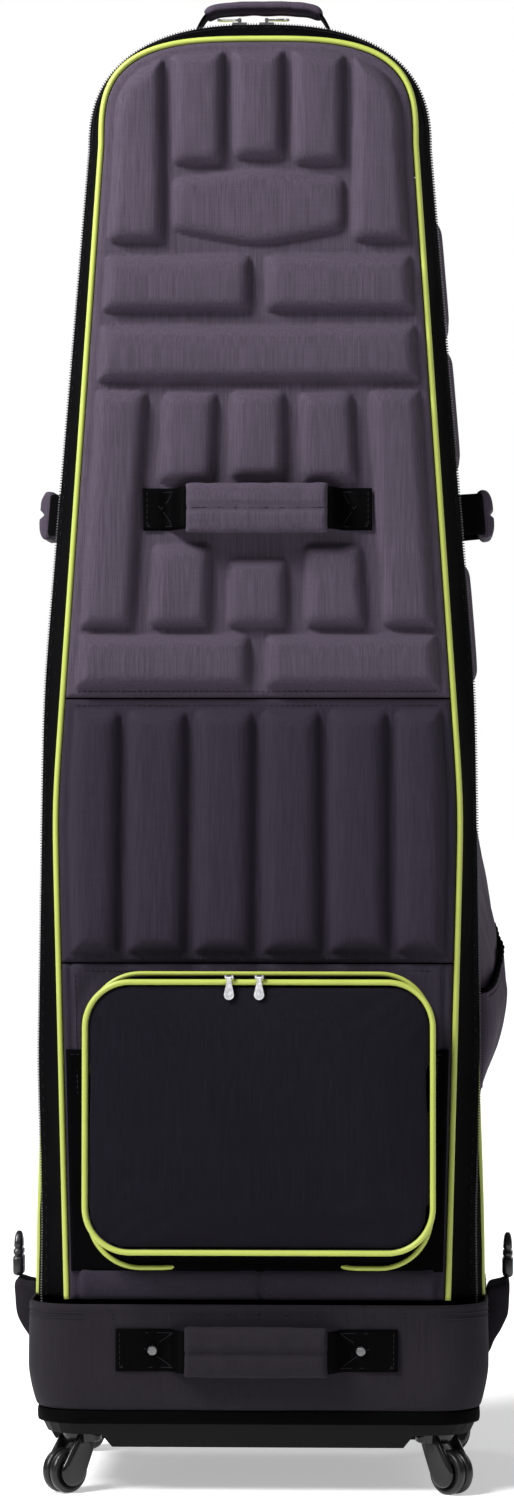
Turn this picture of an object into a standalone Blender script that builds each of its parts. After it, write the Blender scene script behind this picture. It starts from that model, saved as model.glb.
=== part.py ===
"""Golf travel case: a tall soft shell on a moulded wheeled base. Its front folds down on its bottom edge.

Metres. +Z is up, +X is the case's right seen from the front, and -Y is the front.
The base is built round the Z axis. The whole case then moves back a little, so that the origin is on
the floor under the centre of its bounding box.
The front leans back: front_y(z) gives its face, and a "depth" is measured back from that face.
"""

import math
from collections import namedtuple

import bmesh
import bpy
from mathutils import Matrix, Vector

# Gaps between pieces
GAP = 0.0004
PIN_CLEARANCE = 0.0003
SEAM_GAP = 0.0014

# How far back the base stands from the origin
CASE_SHIFT = 0.0150

# Base: a moulded tray, a fabric cover round it and a binding where they meet
HEM_Z = 0.168
COVER_HALF_WIDTH = 0.202
COVER_HALF_DEPTH = 0.165
COVER_CORNER = 0.045
COVER_WALL = 0.004
COVER_BOTTOM_Z = 0.0752
COVER_SHOULDER_Z = 0.112
COVER_DRAW_IN = 0.007
BINDING_HEIGHT = 0.0115
BINDING_WALL = 0.0025
TRAY_BOTTOM_Z = 0.0415
TRAY_TOP_Z = 0.148
TRAY_FLOOR = 0.0100
TRAY_WALL = 0.005
TRAY_DRAW_IN = 0.010
CORNER_STEPS = 5

# Casters
CASTER_X = 0.155
CASTER_Y = 0.118
WHEEL_RADIUS = 0.0195
WHEEL_WIDTH = 0.018
WHEEL_STEPS = 20
WHEEL_CLEARANCE = 0.0008
WHEEL_HEADROOM = 0.0017
CASTER_TRAIL = 0.020
CASTER_HOUSING_RADIUS = 0.0172
CASTER_HOUSING_HEIGHT = 0.012
CASTER_STEM_RADIUS = 0.0042
CASTER_STEM_HEIGHT = 0.007
CHEEK_THICKNESS = 0.003
CHEEK_BOSS_RADIUS = 0.0062
AXLE_RADIUS = 0.0025
RECESS_MARGIN = 0.0016
RECESS_CHAMFER = 0.012
CASTER_TURNS = {"front_left": 225, "front_right": 315, "rear_left": 135, "rear_right": 45}

# Upper body: the shell's outline and the smaller outline of the lid's face, as half widths
SKIRT_Z = 0.1488
LID_BOTTOM_Z = 0.1715
SHOULDER_Z = 1.181
SHELL_SKIRT_CLEARANCE = 0.007
SHELL_HEM_HALF = COVER_HALF_WIDTH - SHELL_SKIRT_CLEARANCE
SHELL_WAIST_HALF = 0.1885
SHELL_WAIST_Z = 0.700
SHELL_SHOULDER_HALF = 0.149
SHELL_RISE = 0.109
SHELL_BACK_RADIUS = 0.035
SHELL_BACK_STEPS = 3
SHELL_ROUNDNESS = 2.5
LID_HEM_HALF = 0.166
LID_WAIST_HALF = 0.1775
LID_WAIST_Z = 0.600
LID_SHOULDER_HALF = 0.138
LID_RISE = 0.093
LID_ROUNDNESS = 3.2
CROWN_STEPS = 14

# Depths, back from the front face
FRONT_Y = -0.158
BACK_Y = 0.1515
LEAN = 0.030
PANEL_THICKNESS = 0.012
PIPING_RADIUS = 0.0025
PIPING_DEPTH = 0.005
PANEL_INSET = 0.0032
GUSSET_WALL = 0.0025
ZIP_DEPTH = 0.046
CHAIN_WIDTH = 0.0055
CHAIN_WALL = 0.003
CHAIN_PROUD = 0.0006
REAR_GUSSET_DEPTH = 0.083
SHELL_WALL = 0.004

# Front face: the two sewn seams that divide it, and the handle
RIB_SEAM_Z = 0.695
POCKET_SEAM_Z = 0.464
FRONT_HANDLE_Z = 0.860
FRONT_HANDLE_RISE = 0.021

# Webbing handles
STRAP_THICKNESS = 0.0022
STRAP_WIDTH = 0.036
GRIP_LENGTH = 0.131
GRIP_WIDTH = 0.043
GRIP_THICKNESS = 0.013
GRIP_SLOT_GAP = 0.0006
FRONT_FOOT = 0.0245
HANDLE_RAMP = 0.010

# Base handle
BASE_HANDLE_Z = 0.129
BASE_HANDLE_RISE = 0.017
BASE_FOOT = 0.047
RIVET_RADIUS = 0.0045
RIVET_HEIGHT = 0.0022
RIVET_X = 0.0905

# Side and top handles
SIDE_HANDLE_Z = 0.860
SIDE_HANDLE_Y = 0.034
SIDE_HANDLE_RISE = 0.021
SIDE_GRIP_LENGTH = 0.100
SIDE_FOOT = 0.018
TOP_HANDLE_Y = 0.020
TOP_HANDLE_HALF = 0.062
TOP_HANDLE_RISE = 0.031
TOP_GRIP_THICKNESS = 0.010
TOP_FOOT = 0.026

# Front pocket
POCKET_HALF_WIDTH = 0.150
POCKET_BOTTOM_Z = 0.2085
POCKET_TOP_Z = 0.4480
POCKET_CORNER = 0.036
POCKET_BACK_DEPTH = 0.026
POCKET_CHAIN_WIDTH = 0.004
POCKET_FACE_DEPTH = 0.038
POCKET_FLARE = 0.006
POCKET_WALL = 0.0025
POCKET_PIPING_RADIUS = 0.0022

# Zip sliders
SLIDER_LENGTH = 0.013
SLIDER_WIDTH = 0.008
SLIDER_THICKNESS = 0.0022
SLIDER_LIFT = 0.0010
SLIDER_BAR_Z = 0.0046
SLIDER_BAR_RADIUS = 0.0007
SLIDER_PRONG = 0.0014
KNUCKLE_RADIUS = 0.0018
KNUCKLE_BORE = 0.0010
KNUCKLE_LENGTH = 0.0040
PULL_LENGTH = 0.020
PULL_WIDTH = 0.009
PULL_THICKNESS = 0.0016
MAIN_SLIDERS_X = -0.006
MAIN_SLIDER_SPREAD = 0.012
POCKET_SLIDERS_X = -0.010
POCKET_SLIDER_SPREAD = 0.013

# Side pocket on the right
SIDE_POCKET_BOTTOM_Z = 0.345
SIDE_POCKET_MOUTH_FRONT_Z = 0.435
SIDE_POCKET_MOUTH_BACK_Z = 0.500
SIDE_POCKET_PROUD = 0.026
SIDE_POCKET_WALL = 0.0025
SIDE_POCKET_MARGIN = 0.020
SIDE_POCKET_BULGE = ((0.0, 0.0), (0.12, 0.75), (0.35, 1.0), (0.65, 1.0), (0.88, 0.75), (1.0, 0.0))

# Tie-down wings and their buckles
WING_TOP_Z = 0.173
WING_SHOULDER_Z = 0.140
WING_BOTTOM_Z = 0.112
WING_REACH = 0.019
WING_LENGTH = 0.060
WING_Y = 0.0
WING_THICKNESS = 0.003
BUCKLE_WIDTH = 0.030
BUCKLE_HEIGHT = 0.036
BUCKLE_THICKNESS = 0.010
BUCKLE_PIN_RADIUS = 0.0016
BUCKLE_PIN_LIFT = 0.0068

# Inside
BOARD_THICKNESS = 0.004
BOARD_MARGIN = 0.0065
PAD_THICKNESS = 0.012
PAD_INSET = 0.0012
INNER_STRAP_ZS = {"lower": 0.380, "upper": 0.850}
INNER_STRAP_HALF = 0.105
INNER_STRAP_REACH = 0.150
INNER_STRAP_WIDTH = 0.038
INNER_STRAP_THICKNESS = 0.0025

Arch = namedtuple("Arch", "hem waist waist_z shoulder rise roundness")
SHELL = Arch(
    SHELL_HEM_HALF, SHELL_WAIST_HALF, SHELL_WAIST_Z, SHELL_SHOULDER_HALF, SHELL_RISE, SHELL_ROUNDNESS
)
LID_FACE = Arch(LID_HEM_HALF, LID_WAIST_HALF, LID_WAIST_Z, LID_SHOULDER_HALF, LID_RISE, LID_ROUNDNESS)
Loop = namedtuple("Loop", "half_width bottom top corner")
POCKET = Loop(POCKET_HALF_WIDTH, POCKET_BOTTOM_Z, POCKET_TOP_Z, POCKET_CORNER)


# Scene


def new_scene():
    """An empty scene with one collection for the parts and one for the cutters."""
    for obj in list(bpy.data.objects):
        bpy.data.objects.remove(obj)
    parts = bpy.data.collections.new("golf_travel_case")
    cutters = bpy.data.collections.new("cutters")
    for collection in (parts, cutters):
        bpy.context.scene.collection.children.link(collection)
    cutters.hide_render = True
    return parts, cutters


PARTS, CUTTERS = new_scene()


def finish(name, color, roughness, metallic=0.0):
    """A Principled material."""
    material = bpy.data.materials.new(name)
    material.use_nodes = True
    shader = material.node_tree.nodes["Principled BSDF"]
    shader.inputs["Base Color"].default_value = (*color, 1.0)
    shader.inputs["Roughness"].default_value = roughness
    shader.inputs["Metallic"].default_value = metallic
    return material


FABRIC = finish("purple_grey_fabric", (0.075, 0.065, 0.090), 0.85)
POCKET_FABRIC = finish("dark_pocket_fabric", (0.020, 0.018, 0.028), 0.80)
LIME = finish("lime_piping", (0.50, 0.66, 0.06), 0.55)
WEBBING = finish("black_webbing", (0.008, 0.008, 0.009), 0.80)
CHAIN = finish("black_zip", (0.010, 0.010, 0.011), 0.50)
CHROME = finish("chrome", (0.80, 0.80, 0.82), 0.15, 1.0)
SHELL_PLASTIC = finish("base_plastic", (0.014, 0.014, 0.015), 0.45)
WHEEL_PLASTIC = finish("wheel_plastic", (0.008, 0.008, 0.009), 0.25)
LINING = finish("lining", (0.020, 0.020, 0.022), 0.90)


def body_frame(name, place=(0, 0, 0), parent=None, turn=0.0, local=False):
    """An empty on a body's joint axis, which its nodes are parented to."""
    empty = bpy.data.objects.new(name, None)
    PARTS.objects.link(empty)
    empty.parent = parent
    empty.location = Vector(place) if local else Vector(place) - world_place(parent)
    empty.rotation_euler.z = math.radians(turn)
    return empty


def world_place(frame):
    """Where an unturned frame's origin is, before the whole case moves back."""
    place = Vector()
    while frame:
        place += frame.location
        frame = frame.parent
    return place


def add(name, mesh, material, frame, local=False):
    """A node made from a mesh, in world coordinates unless it's local to its frame."""
    obj = bpy.data.objects.new(name, mesh)
    if not mesh.materials:
        mesh.materials.append(material)
    PARTS.objects.link(obj)
    obj.parent = frame
    if not local:
        obj.location = -world_place(frame)
    return obj


def cutter(name, mesh, frame):
    """A hidden object that cuts a node on the same frame."""
    obj = bpy.data.objects.new(name, mesh)
    CUTTERS.objects.link(obj)
    obj.parent = frame
    obj.location = -world_place(frame)
    obj.hide_render = True
    obj.display_type = "WIRE"
    return obj


def boolean(obj, other, operation="DIFFERENCE"):
    modifier = obj.modifiers.new(other.name, "BOOLEAN")
    modifier.object = other
    modifier.operation = operation


def bevel(obj, width, segments=2):
    modifier = obj.modifiers.new("bevel", "BEVEL")
    modifier.width = width
    modifier.segments = segments
    modifier.limit_method = "ANGLE"


# Mesh tools


def mesh_from(bm, name="mesh"):
    mesh = bpy.data.meshes.new(name)
    bm.to_mesh(mesh)
    bm.free()
    return mesh


def thickened(mesh, wall):
    """The mesh of an open surface given a wall on its inner side."""
    obj = bpy.data.objects.new("surface", mesh)
    bpy.context.scene.collection.objects.link(obj)
    modifier = obj.modifiers.new("wall", "SOLIDIFY")
    modifier.thickness = wall
    modifier.offset = -1
    modifier.use_even_offset = True
    graph = bpy.context.evaluated_depsgraph_get()
    result = bpy.data.meshes.new_from_object(obj.evaluated_get(graph))
    bpy.data.objects.remove(obj)
    return result


def loft(rings, cyclic=True, first_cap=False, last_cap=False):
    """A mesh through rings with equally many points, with its outside on the right of the way they run."""
    bm = bmesh.new()
    rows = [[bm.verts.new(point) for point in ring] for ring in rings]
    count = len(rows[0])
    for low, high in zip(rows, rows[1:]):
        for i in range(count if cyclic else count - 1):
            j = (i + 1) % count
            bm.faces.new((low[i], low[j], high[j], high[i]))
    if first_cap:
        bm.faces.new(reversed(rows[0]))
    if last_cap:
        bm.faces.new(rows[-1])
    return mesh_from(bm)


def flat_mesh(outlines, thickness):
    """A plate in the XY plane with its middle at Z 0: the first outline filled, less the others."""
    curve = bpy.data.curves.new("outline", "CURVE")
    curve.dimensions = "2D"
    curve.fill_mode = "BOTH"
    curve.extrude = thickness / 2
    for outline in outlines:
        spline = curve.splines.new("POLY")
        spline.points.add(len(outline) - 1)
        for point, (x, y) in zip(spline.points, outline):
            point.co = (x, y, 0, 1)
        spline.use_cyclic_u = True
    obj = bpy.data.objects.new("outline", curve)
    bpy.context.scene.collection.objects.link(obj)
    graph = bpy.context.evaluated_depsgraph_get()
    mesh = bpy.data.meshes.new_from_object(obj.evaluated_get(graph))
    bpy.data.objects.remove(obj)
    bm = bmesh.new()
    bm.from_mesh(mesh)
    bmesh.ops.remove_doubles(bm, verts=bm.verts, dist=1e-5)
    bmesh.ops.recalc_face_normals(bm, faces=bm.faces)
    return mesh_from(bm)


def upright(outlines, front, back, leaning=True):
    """A plate whose outlines are in XZ, from one depth behind the front face to another."""
    mesh = flat_mesh(outlines, back - front)
    mesh.transform(Matrix.Rotation(math.pi / 2, 4, "X"))
    mesh.transform(Matrix.Translation((0, (front + back) / 2, 0)))
    if leaning:
        mesh.transform(Matrix.Translation((0, FRONT_Y, 0)))
        mesh.transform(Matrix(((1, 0, 0, 0), (0, 1, LEAN, -LEAN * HEM_Z), (0, 0, 1, 0), (0, 0, 0, 1))))
    return mesh


def cylinder(radius, length, center, axis="Z", steps=16):
    """A closed cylinder round an axis through its centre."""
    bm = bmesh.new()
    bmesh.ops.create_cone(
        bm, cap_ends=True, segments=steps, radius1=radius, radius2=radius, depth=length
    )
    mesh = mesh_from(bm)
    turns = {"X": Matrix.Rotation(math.pi / 2, 4, "Y"), "Y": Matrix.Rotation(math.pi / 2, 4, "X")}
    if axis in turns:
        mesh.transform(turns[axis])
    mesh.transform(Matrix.Translation(center))
    return mesh


def block(low, high):
    """A box between two corners."""
    bm = bmesh.new()
    bmesh.ops.create_cube(bm, size=1)
    mesh = mesh_from(bm)
    size = Vector(high) - Vector(low)
    mesh.transform(Matrix.Diagonal((*size, 1)))
    mesh.transform(Matrix.Translation((Vector(high) + Vector(low)) / 2))
    return mesh


def joined(meshes):
    """One mesh of several that don't touch."""
    bm = bmesh.new()
    for mesh in meshes:
        bm.from_mesh(mesh)
    return mesh_from(bm)


def united(meshes):
    """One closed mesh: the union of overlapping meshes."""
    base = bpy.data.objects.new("union", meshes[0])
    bpy.context.scene.collection.objects.link(base)
    others = []
    for mesh in meshes[1:]:
        other = bpy.data.objects.new("union_part", mesh)
        bpy.context.scene.collection.objects.link(other)
        boolean(base, other, "UNION")
        others.append(other)
    graph = bpy.context.evaluated_depsgraph_get()
    result = bpy.data.meshes.new_from_object(base.evaluated_get(graph))
    for obj in [base, *others]:
        bpy.data.objects.remove(obj)
    return result


def tube(name, points, radius, material, frame, cyclic=False):
    """A round cord along points, in world coordinates."""
    curve = bpy.data.curves.new(name, "CURVE")
    curve.dimensions = "3D"
    curve.bevel_depth = radius
    curve.bevel_resolution = 1
    curve.use_fill_caps = True
    spline = curve.splines.new("POLY")
    spline.points.add(len(points) - 1)
    for point, place in zip(spline.points, points):
        point.co = (*place, 1)
    spline.use_cyclic_u = cyclic
    curve.materials.append(material)
    obj = bpy.data.objects.new(name, curve)
    PARTS.objects.link(obj)
    obj.parent = frame
    obj.location = -world_place(frame)
    return obj


# Outlines


def front_y(z):
    """The front face at a height: it leans back towards the top."""
    return FRONT_Y + LEAN * (z - HEM_Z)


def rounded_box(half_width, half_depth, corner, z):
    """A rounded rectangle round the Z axis, anticlockwise from above."""
    ring = []
    for number, (sx, sy) in enumerate(((1, 1), (-1, 1), (-1, -1), (1, -1))):
        for step in range(CORNER_STEPS + 1):
            angle = math.radians(90 * (number + step / CORNER_STEPS))
            x = sx * (half_width - corner) + corner * math.cos(angle)
            y = sy * (half_depth - corner) + corner * math.sin(angle)
            ring.append((x, y, z))
    return ring


def shrunk(arch, inset):
    """The arch moved inwards."""
    return arch._replace(
        hem=arch.hem - inset,
        waist=arch.waist - inset,
        shoulder=arch.shoulder - inset,
        rise=arch.rise - inset,
    )


def half_width(arch, z):
    """An arch's half width at a height under its shoulders."""
    if z < arch.waist_z:
        return arch.hem + (arch.waist - arch.hem) * max(z - HEM_Z, 0) / (arch.waist_z - HEM_Z)
    return arch.waist + (arch.shoulder - arch.waist) * (z - arch.waist_z) / (SHOULDER_Z - arch.waist_z)


def crown_z(arch, x):
    """The height of an arch's crown over x."""
    share = min(abs(x) / arch.shoulder, 1)
    return SHOULDER_Z + arch.rise * (1 - share**arch.roundness) ** (1 / arch.roundness)


def crown(arch, lift=0.0):
    """The crown from left to right: a quarter superellipse each side, its ends lifted."""
    points = []
    for step in range(CROWN_STEPS + 1):
        angle = math.pi * step / CROWN_STEPS
        across = abs(math.cos(angle)) ** (2 / arch.roundness)
        up = abs(math.sin(angle)) ** (2 / arch.roundness)
        x = -math.copysign(across, math.cos(angle)) * arch.shoulder
        points.append((x, SHOULDER_Z + arch.rise * up))
    points[0] = (-arch.shoulder, SHOULDER_Z + lift)
    points[-1] = (arch.shoulder, SHOULDER_Z + lift)
    return points


def flank(arch, low, high):
    """The left side from one height up to another."""
    heights = [low, *(z for z in (HEM_Z, arch.waist_z, SHOULDER_Z) if low < z < high), high]
    return [(-half_width(arch, z), z) for z in heights]


def arch_points(arch, low):
    """The whole open arch from its left foot over the crown to its right foot."""
    left = flank(arch, low, SHOULDER_Z)[:-1]
    return left + crown(arch) + [(-x, z) for x, z in reversed(left)]


def loop_points(loop, offset=0.0):
    """A rounded rectangle in XZ, clockwise seen from the front, moved outwards by an offset."""
    half = loop.half_width + offset
    corner = loop.corner + offset
    middle = (loop.top + loop.bottom) / 2
    half_height = (loop.top - loop.bottom) / 2 + offset
    ring = rounded_box(half, half_height, corner, 0)
    return [(x, middle + y) for x, y, _ in reversed(ring)]


def at_depth(points, depth):
    """XZ points placed at a depth behind the leaning front face."""
    return [(x, front_y(z) + depth, z) for x, z in points]


def band(name, outer, front, inner, back, wall, low, material, frame):
    """A strip over the case between two arches at two depths, with its wall inside them."""
    rings = [at_depth(arch_points(outer, low), front), at_depth(arch_points(inner, low), back)]
    return add(name, thickened(loft(rings, cyclic=False), wall), material, frame)


# Base


def cover_ring(z, inset):
    """The base's outline at a height, moved inwards from the cover."""
    return rounded_box(COVER_HALF_WIDTH - inset, COVER_HALF_DEPTH - inset, COVER_CORNER - inset / 2, z)


def build_base(case):
    """The tray, the cover round it and the binding between them."""
    cover = loft(
        [
            cover_ring(COVER_BOTTOM_Z, COVER_DRAW_IN),
            cover_ring(COVER_SHOULDER_Z, 0),
            cover_ring(HEM_Z, 0),
        ]
    )
    add("base_cover", thickened(cover, COVER_WALL), FABRIC, case)

    tray_inset = COVER_WALL + GAP
    edge_z = COVER_BOTTOM_Z - BINDING_HEIGHT - GAP
    edge_inset = COVER_DRAW_IN + tray_inset
    outer = [
        cover_ring(TRAY_BOTTOM_Z, edge_inset + TRAY_DRAW_IN),
        cover_ring(edge_z, edge_inset),
        cover_ring(COVER_BOTTOM_Z, edge_inset),
        cover_ring(COVER_SHOULDER_Z, tray_inset),
        cover_ring(TRAY_TOP_Z, tray_inset),
    ]
    tray = add("base_tray", loft(outer, first_cap=True, last_cap=True), SHELL_PLASTIC, case)
    floor_z = recess_z() + TRAY_FLOOR
    hollow = [
        cover_ring(floor_z, edge_inset + TRAY_WALL),
        cover_ring(COVER_BOTTOM_Z, edge_inset + TRAY_WALL),
        cover_ring(COVER_SHOULDER_Z, tray_inset + TRAY_WALL),
        cover_ring(TRAY_TOP_Z + TRAY_WALL, tray_inset + TRAY_WALL),
    ]
    boolean(tray, cutter("tray_hollow", loft(hollow, first_cap=True, last_cap=True), case))
    corners = [(x, y) for x in (-1, 1) for y in (-1, 1)]
    boolean(tray, cutter("caster_recesses", joined([recess(*corner) for corner in corners]), case))
    boolean(tray, cutter("caster_bores", joined([stem_bore(*corner) for corner in corners]), case))

    binding_inset = edge_inset - BINDING_WALL - GAP
    binding = loft(
        [
            cover_ring(edge_z, binding_inset),
            cover_ring(COVER_BOTTOM_Z - GAP, binding_inset),
        ]
    )
    add("base_binding", thickened(binding, BINDING_WALL), WEBBING, case)

    pad_inset = edge_inset + TRAY_WALL + PAD_INSET
    pad = [cover_ring(floor_z + GAP, pad_inset), cover_ring(floor_z + GAP + PAD_THICKNESS, pad_inset)]
    add("floor_pad", loft(pad, first_cap=True, last_cap=True), LINING, case)


def recess_z():
    """The face that the casters hang from."""
    return 2 * WHEEL_RADIUS + WHEEL_HEADROOM + CASTER_HOUSING_HEIGHT + GAP


def recess(side, end):
    """A cutter for a caster's corner of the tray, with a sloping inner edge."""
    reach = CASTER_HOUSING_RADIUS + RECESS_MARGIN
    far_x = COVER_HALF_WIDTH + COVER_WALL
    far_y = COVER_HALF_DEPTH + COVER_WALL
    rings = []
    for z, slope in ((TRAY_BOTTOM_Z - COVER_WALL, RECESS_CHAMFER), (recess_z(), 0)):
        near_x = CASTER_X - reach - slope
        near_y = CASTER_Y - reach - slope
        ring = [(near_x, near_y, z), (far_x, near_y, z), (far_x, far_y, z), (near_x, far_y, z)]
        rings.append([(x * side, y * end, h) for x, y, h in ring][:: side * end])
    return loft(rings, first_cap=True, last_cap=True)


def stem_bore(side, end):
    """A cutter for a caster stem's hole through the tray's floor."""
    return cylinder(
        CASTER_STEM_RADIUS + PIN_CLEARANCE,
        4 * TRAY_FLOOR,
        (side * CASTER_X, end * CASTER_Y, recess_z()),
    )


# Casters


def wheel_mesh():
    """A rounded twin-tread wheel turned about the Y axis, with a bore for its axle."""
    bore = AXLE_RADIUS + PIN_CLEARANCE
    half = WHEEL_WIDTH / 2
    tread = [
        (0.77, 1.00),
        (0.95, 0.83),
        (1.00, 0.55),
        (1.00, 0.13),
        (0.95, 0.00),
        (1.00, -0.13),
        (1.00, -0.55),
        (0.95, -0.83),
        (0.77, -1.00),
    ]
    profile = [(bore, half)] + [(r * WHEEL_RADIUS, h * half) for r, h in tread] + [(bore, -half)]
    bm = bmesh.new()
    verts = [bm.verts.new((r, 0, h)) for r, h in profile]
    for a, b in zip(verts, verts[1:] + verts[:1]):
        bm.edges.new((a, b))
    obj = bpy.data.objects.new("wheel_profile", mesh_from(bm))
    bpy.context.scene.collection.objects.link(obj)
    screw = obj.modifiers.new("turn", "SCREW")
    screw.steps = WHEEL_STEPS
    screw.render_steps = WHEEL_STEPS
    screw.use_merge_vertices = True
    screw.merge_threshold = 0.0001
    graph = bpy.context.evaluated_depsgraph_get()
    mesh = bpy.data.meshes.new_from_object(obj.evaluated_get(graph))
    bpy.data.objects.remove(obj)
    bm = bmesh.new()
    bm.from_mesh(mesh)
    bmesh.ops.recalc_face_normals(bm, faces=bm.faces)
    mesh = mesh_from(bm)
    mesh.transform(Matrix.Rotation(math.pi / 2, 4, "X"))
    return mesh


def cheek_outline():
    """One side of the fork: from the housing down to a round boss on the axle."""
    top = recess_z() - GAP - CASTER_HOUSING_HEIGHT + CHEEK_THICKNESS / 2
    outline = [(-0.007, top), (0.0105, top)]
    for step in range(9):
        angle = math.radians(40 - 27.5 * step)
        outline.append(
            (
                CASTER_TRAIL + CHEEK_BOSS_RADIUS * math.cos(angle),
                WHEEL_RADIUS + CHEEK_BOSS_RADIUS * math.sin(angle),
            )
        )
    return outline


def yoke_mesh():
    """The swivelling fork: stem, housing, two cheeks and the axle, round the swivel axis."""
    top = recess_z() - GAP
    middle = (0, 0, top - CASTER_HOUSING_HEIGHT / 2)
    housing = cylinder(CASTER_HOUSING_RADIUS, CASTER_HOUSING_HEIGHT, middle, steps=20)
    stem = cylinder(CASTER_STEM_RADIUS, 2 * CASTER_STEM_HEIGHT, (0, 0, top))
    cheek_y = WHEEL_WIDTH / 2 + WHEEL_CLEARANCE + CHEEK_THICKNESS / 2
    cheeks = []
    for side in (-1, 1):
        cheek = flat_mesh([cheek_outline()], CHEEK_THICKNESS)
        cheek.transform(Matrix.Rotation(math.pi / 2, 4, "X"))
        cheek.transform(Matrix.Translation((0, side * cheek_y, 0)))
        cheeks.append(cheek)
    axle = cylinder(AXLE_RADIUS, 2 * cheek_y, (CASTER_TRAIL, 0, WHEEL_RADIUS), "Y")
    return united([housing, stem, *cheeks, axle])


def build_casters(case):
    """Four swivel casters that share their meshes."""
    yoke, wheel = yoke_mesh(), wheel_mesh()
    for place, turn in CASTER_TURNS.items():
        x = CASTER_X if place.endswith("right") else -CASTER_X
        y = CASTER_Y if place.startswith("rear") else -CASTER_Y
        swivel = body_frame(f"caster_{place}", (x, y, 0), case, turn)
        add(f"caster_{place}_yoke", yoke, WHEEL_PLASTIC, swivel, local=True)
        axle = body_frame(f"caster_{place}_axle", (CASTER_TRAIL, 0, WHEEL_RADIUS), swivel, local=True)
        add(f"caster_{place}_wheel", wheel, WHEEL_PLASTIC, axle, local=True)


# Shell


def shell_strip(points_of):
    """A panel from the rear piping seam round the back edge. points_of gives its XZ points on an arch."""
    rings = [at_depth(points_of(SHELL), REAR_GUSSET_DEPTH + 2 * (PIPING_RADIUS + GAP))]
    for step in range(SHELL_BACK_STEPS + 1):
        angle = math.radians(90 * step / SHELL_BACK_STEPS)
        arch = shrunk(SHELL, SHELL_BACK_RADIUS * (1 - math.cos(angle)))
        y = BACK_Y - SHELL_BACK_RADIUS * (1 - math.sin(angle))
        rings.append([(x, y, z) for x, z in points_of(arch)])
    return thickened(loft(rings, cyclic=False), SHELL_WALL)


def left_flank(arch):
    return flank(arch, SKIRT_Z, SHOULDER_Z)


def right_flank(arch):
    return [(-x, z) for x, z in reversed(left_flank(arch))]


def raised_crown(arch):
    return crown(arch, SEAM_GAP)


def build_shell(case):
    """The fixed half of the upper case: gusset, piping, sides, top and back."""
    chain_front = ZIP_DEPTH + GAP
    chain_back = chain_front + CHAIN_WIDTH
    proud = shrunk(SHELL, -CHAIN_PROUD)
    band("rear_zip_chain", proud, chain_front, proud, chain_back, CHAIN_WALL, SKIRT_Z, CHAIN, case)
    band(
        "rear_gusset",
        SHELL,
        chain_back + GAP,
        SHELL,
        REAR_GUSSET_DEPTH,
        GUSSET_WALL,
        SKIRT_Z,
        WEBBING,
        case,
    )
    piping = at_depth(arch_points(SHELL, HEM_Z - COVER_WALL), REAR_GUSSET_DEPTH + PIPING_RADIUS + GAP)
    tube("rear_piping", piping, PIPING_RADIUS, LIME, case)

    add("side_panel_left", shell_strip(left_flank), FABRIC, case)
    add("side_panel_right", shell_strip(right_flank), FABRIC, case)
    add("top_panel", shell_strip(raised_crown), FABRIC, case)

    back_arch = shrunk(SHELL, SHELL_BACK_RADIUS + SEAM_GAP)
    back = upright([arch_points(back_arch, SKIRT_Z)], BACK_Y - SHELL_WALL, BACK_Y, leaning=False)
    add("back_panel", back, FABRIC, case)
    board_back = BACK_Y - SHELL_WALL - GAP
    board_arch = shrunk(back_arch, BOARD_MARGIN)
    board_front = board_back - BOARD_THICKNESS
    board = upright([arch_points(board_arch, SKIRT_Z)], board_front, board_back, leaning=False)
    add("back_board", board, LINING, case)


def build_inner_straps(case):
    """Two webbing hoops on the back board that hold the bag."""
    back = BACK_Y - SHELL_WALL - BOARD_THICKNESS - 2 * GAP
    front = back - INNER_STRAP_REACH
    half = INNER_STRAP_HALF
    ramp = half * 0.55
    path = [
        (-half, back),
        (-half, back - INNER_STRAP_REACH * 0.55),
        (-half * 0.86, back - INNER_STRAP_REACH * 0.85),
        (-ramp, front),
        (ramp, front),
        (half * 0.86, back - INNER_STRAP_REACH * 0.85),
        (half, back - INNER_STRAP_REACH * 0.55),
        (half, back),
    ]
    for name, z in INNER_STRAP_ZS.items():
        strap = flat_mesh([ribbon_outline(path, INNER_STRAP_THICKNESS)], INNER_STRAP_WIDTH)
        strap.transform(Matrix.Translation((0, 0, z)))
        add(f"inner_strap_{name}", strap, WEBBING, case)


def build_side_pocket(case):
    """An open pouch on the right side panel, with a mouth that slopes down to the front."""
    front_edge = REAR_GUSSET_DEPTH + SIDE_POCKET_MARGIN
    back_edge = BACK_Y - SIDE_POCKET_MARGIN
    bottom = SIDE_POCKET_BOTTOM_Z
    rings = []
    for share in (0.0, 0.35, 0.7, 1.0):
        ring = []
        for along, bulge in SIDE_POCKET_BULGE:
            rise = SIDE_POCKET_MOUTH_BACK_Z - SIDE_POCKET_MOUTH_FRONT_Z
            mouth = SIDE_POCKET_MOUTH_FRONT_Z + rise * along
            z = bottom + (mouth - bottom) * share
            y_front = front_y(z) + front_edge
            y = y_front + (back_edge - y_front) * along
            belly = math.sin(math.radians(90 * min(share / 0.8, 1)))
            x = half_width(SHELL, z) + GAP + SIDE_POCKET_WALL + SIDE_POCKET_PROUD * bulge * belly
            ring.append((x, y, z))
        rings.append(ring)
    add("side_pocket", thickened(loft(rings, cyclic=False), SIDE_POCKET_WALL), FABRIC, case)


# Handles


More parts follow.
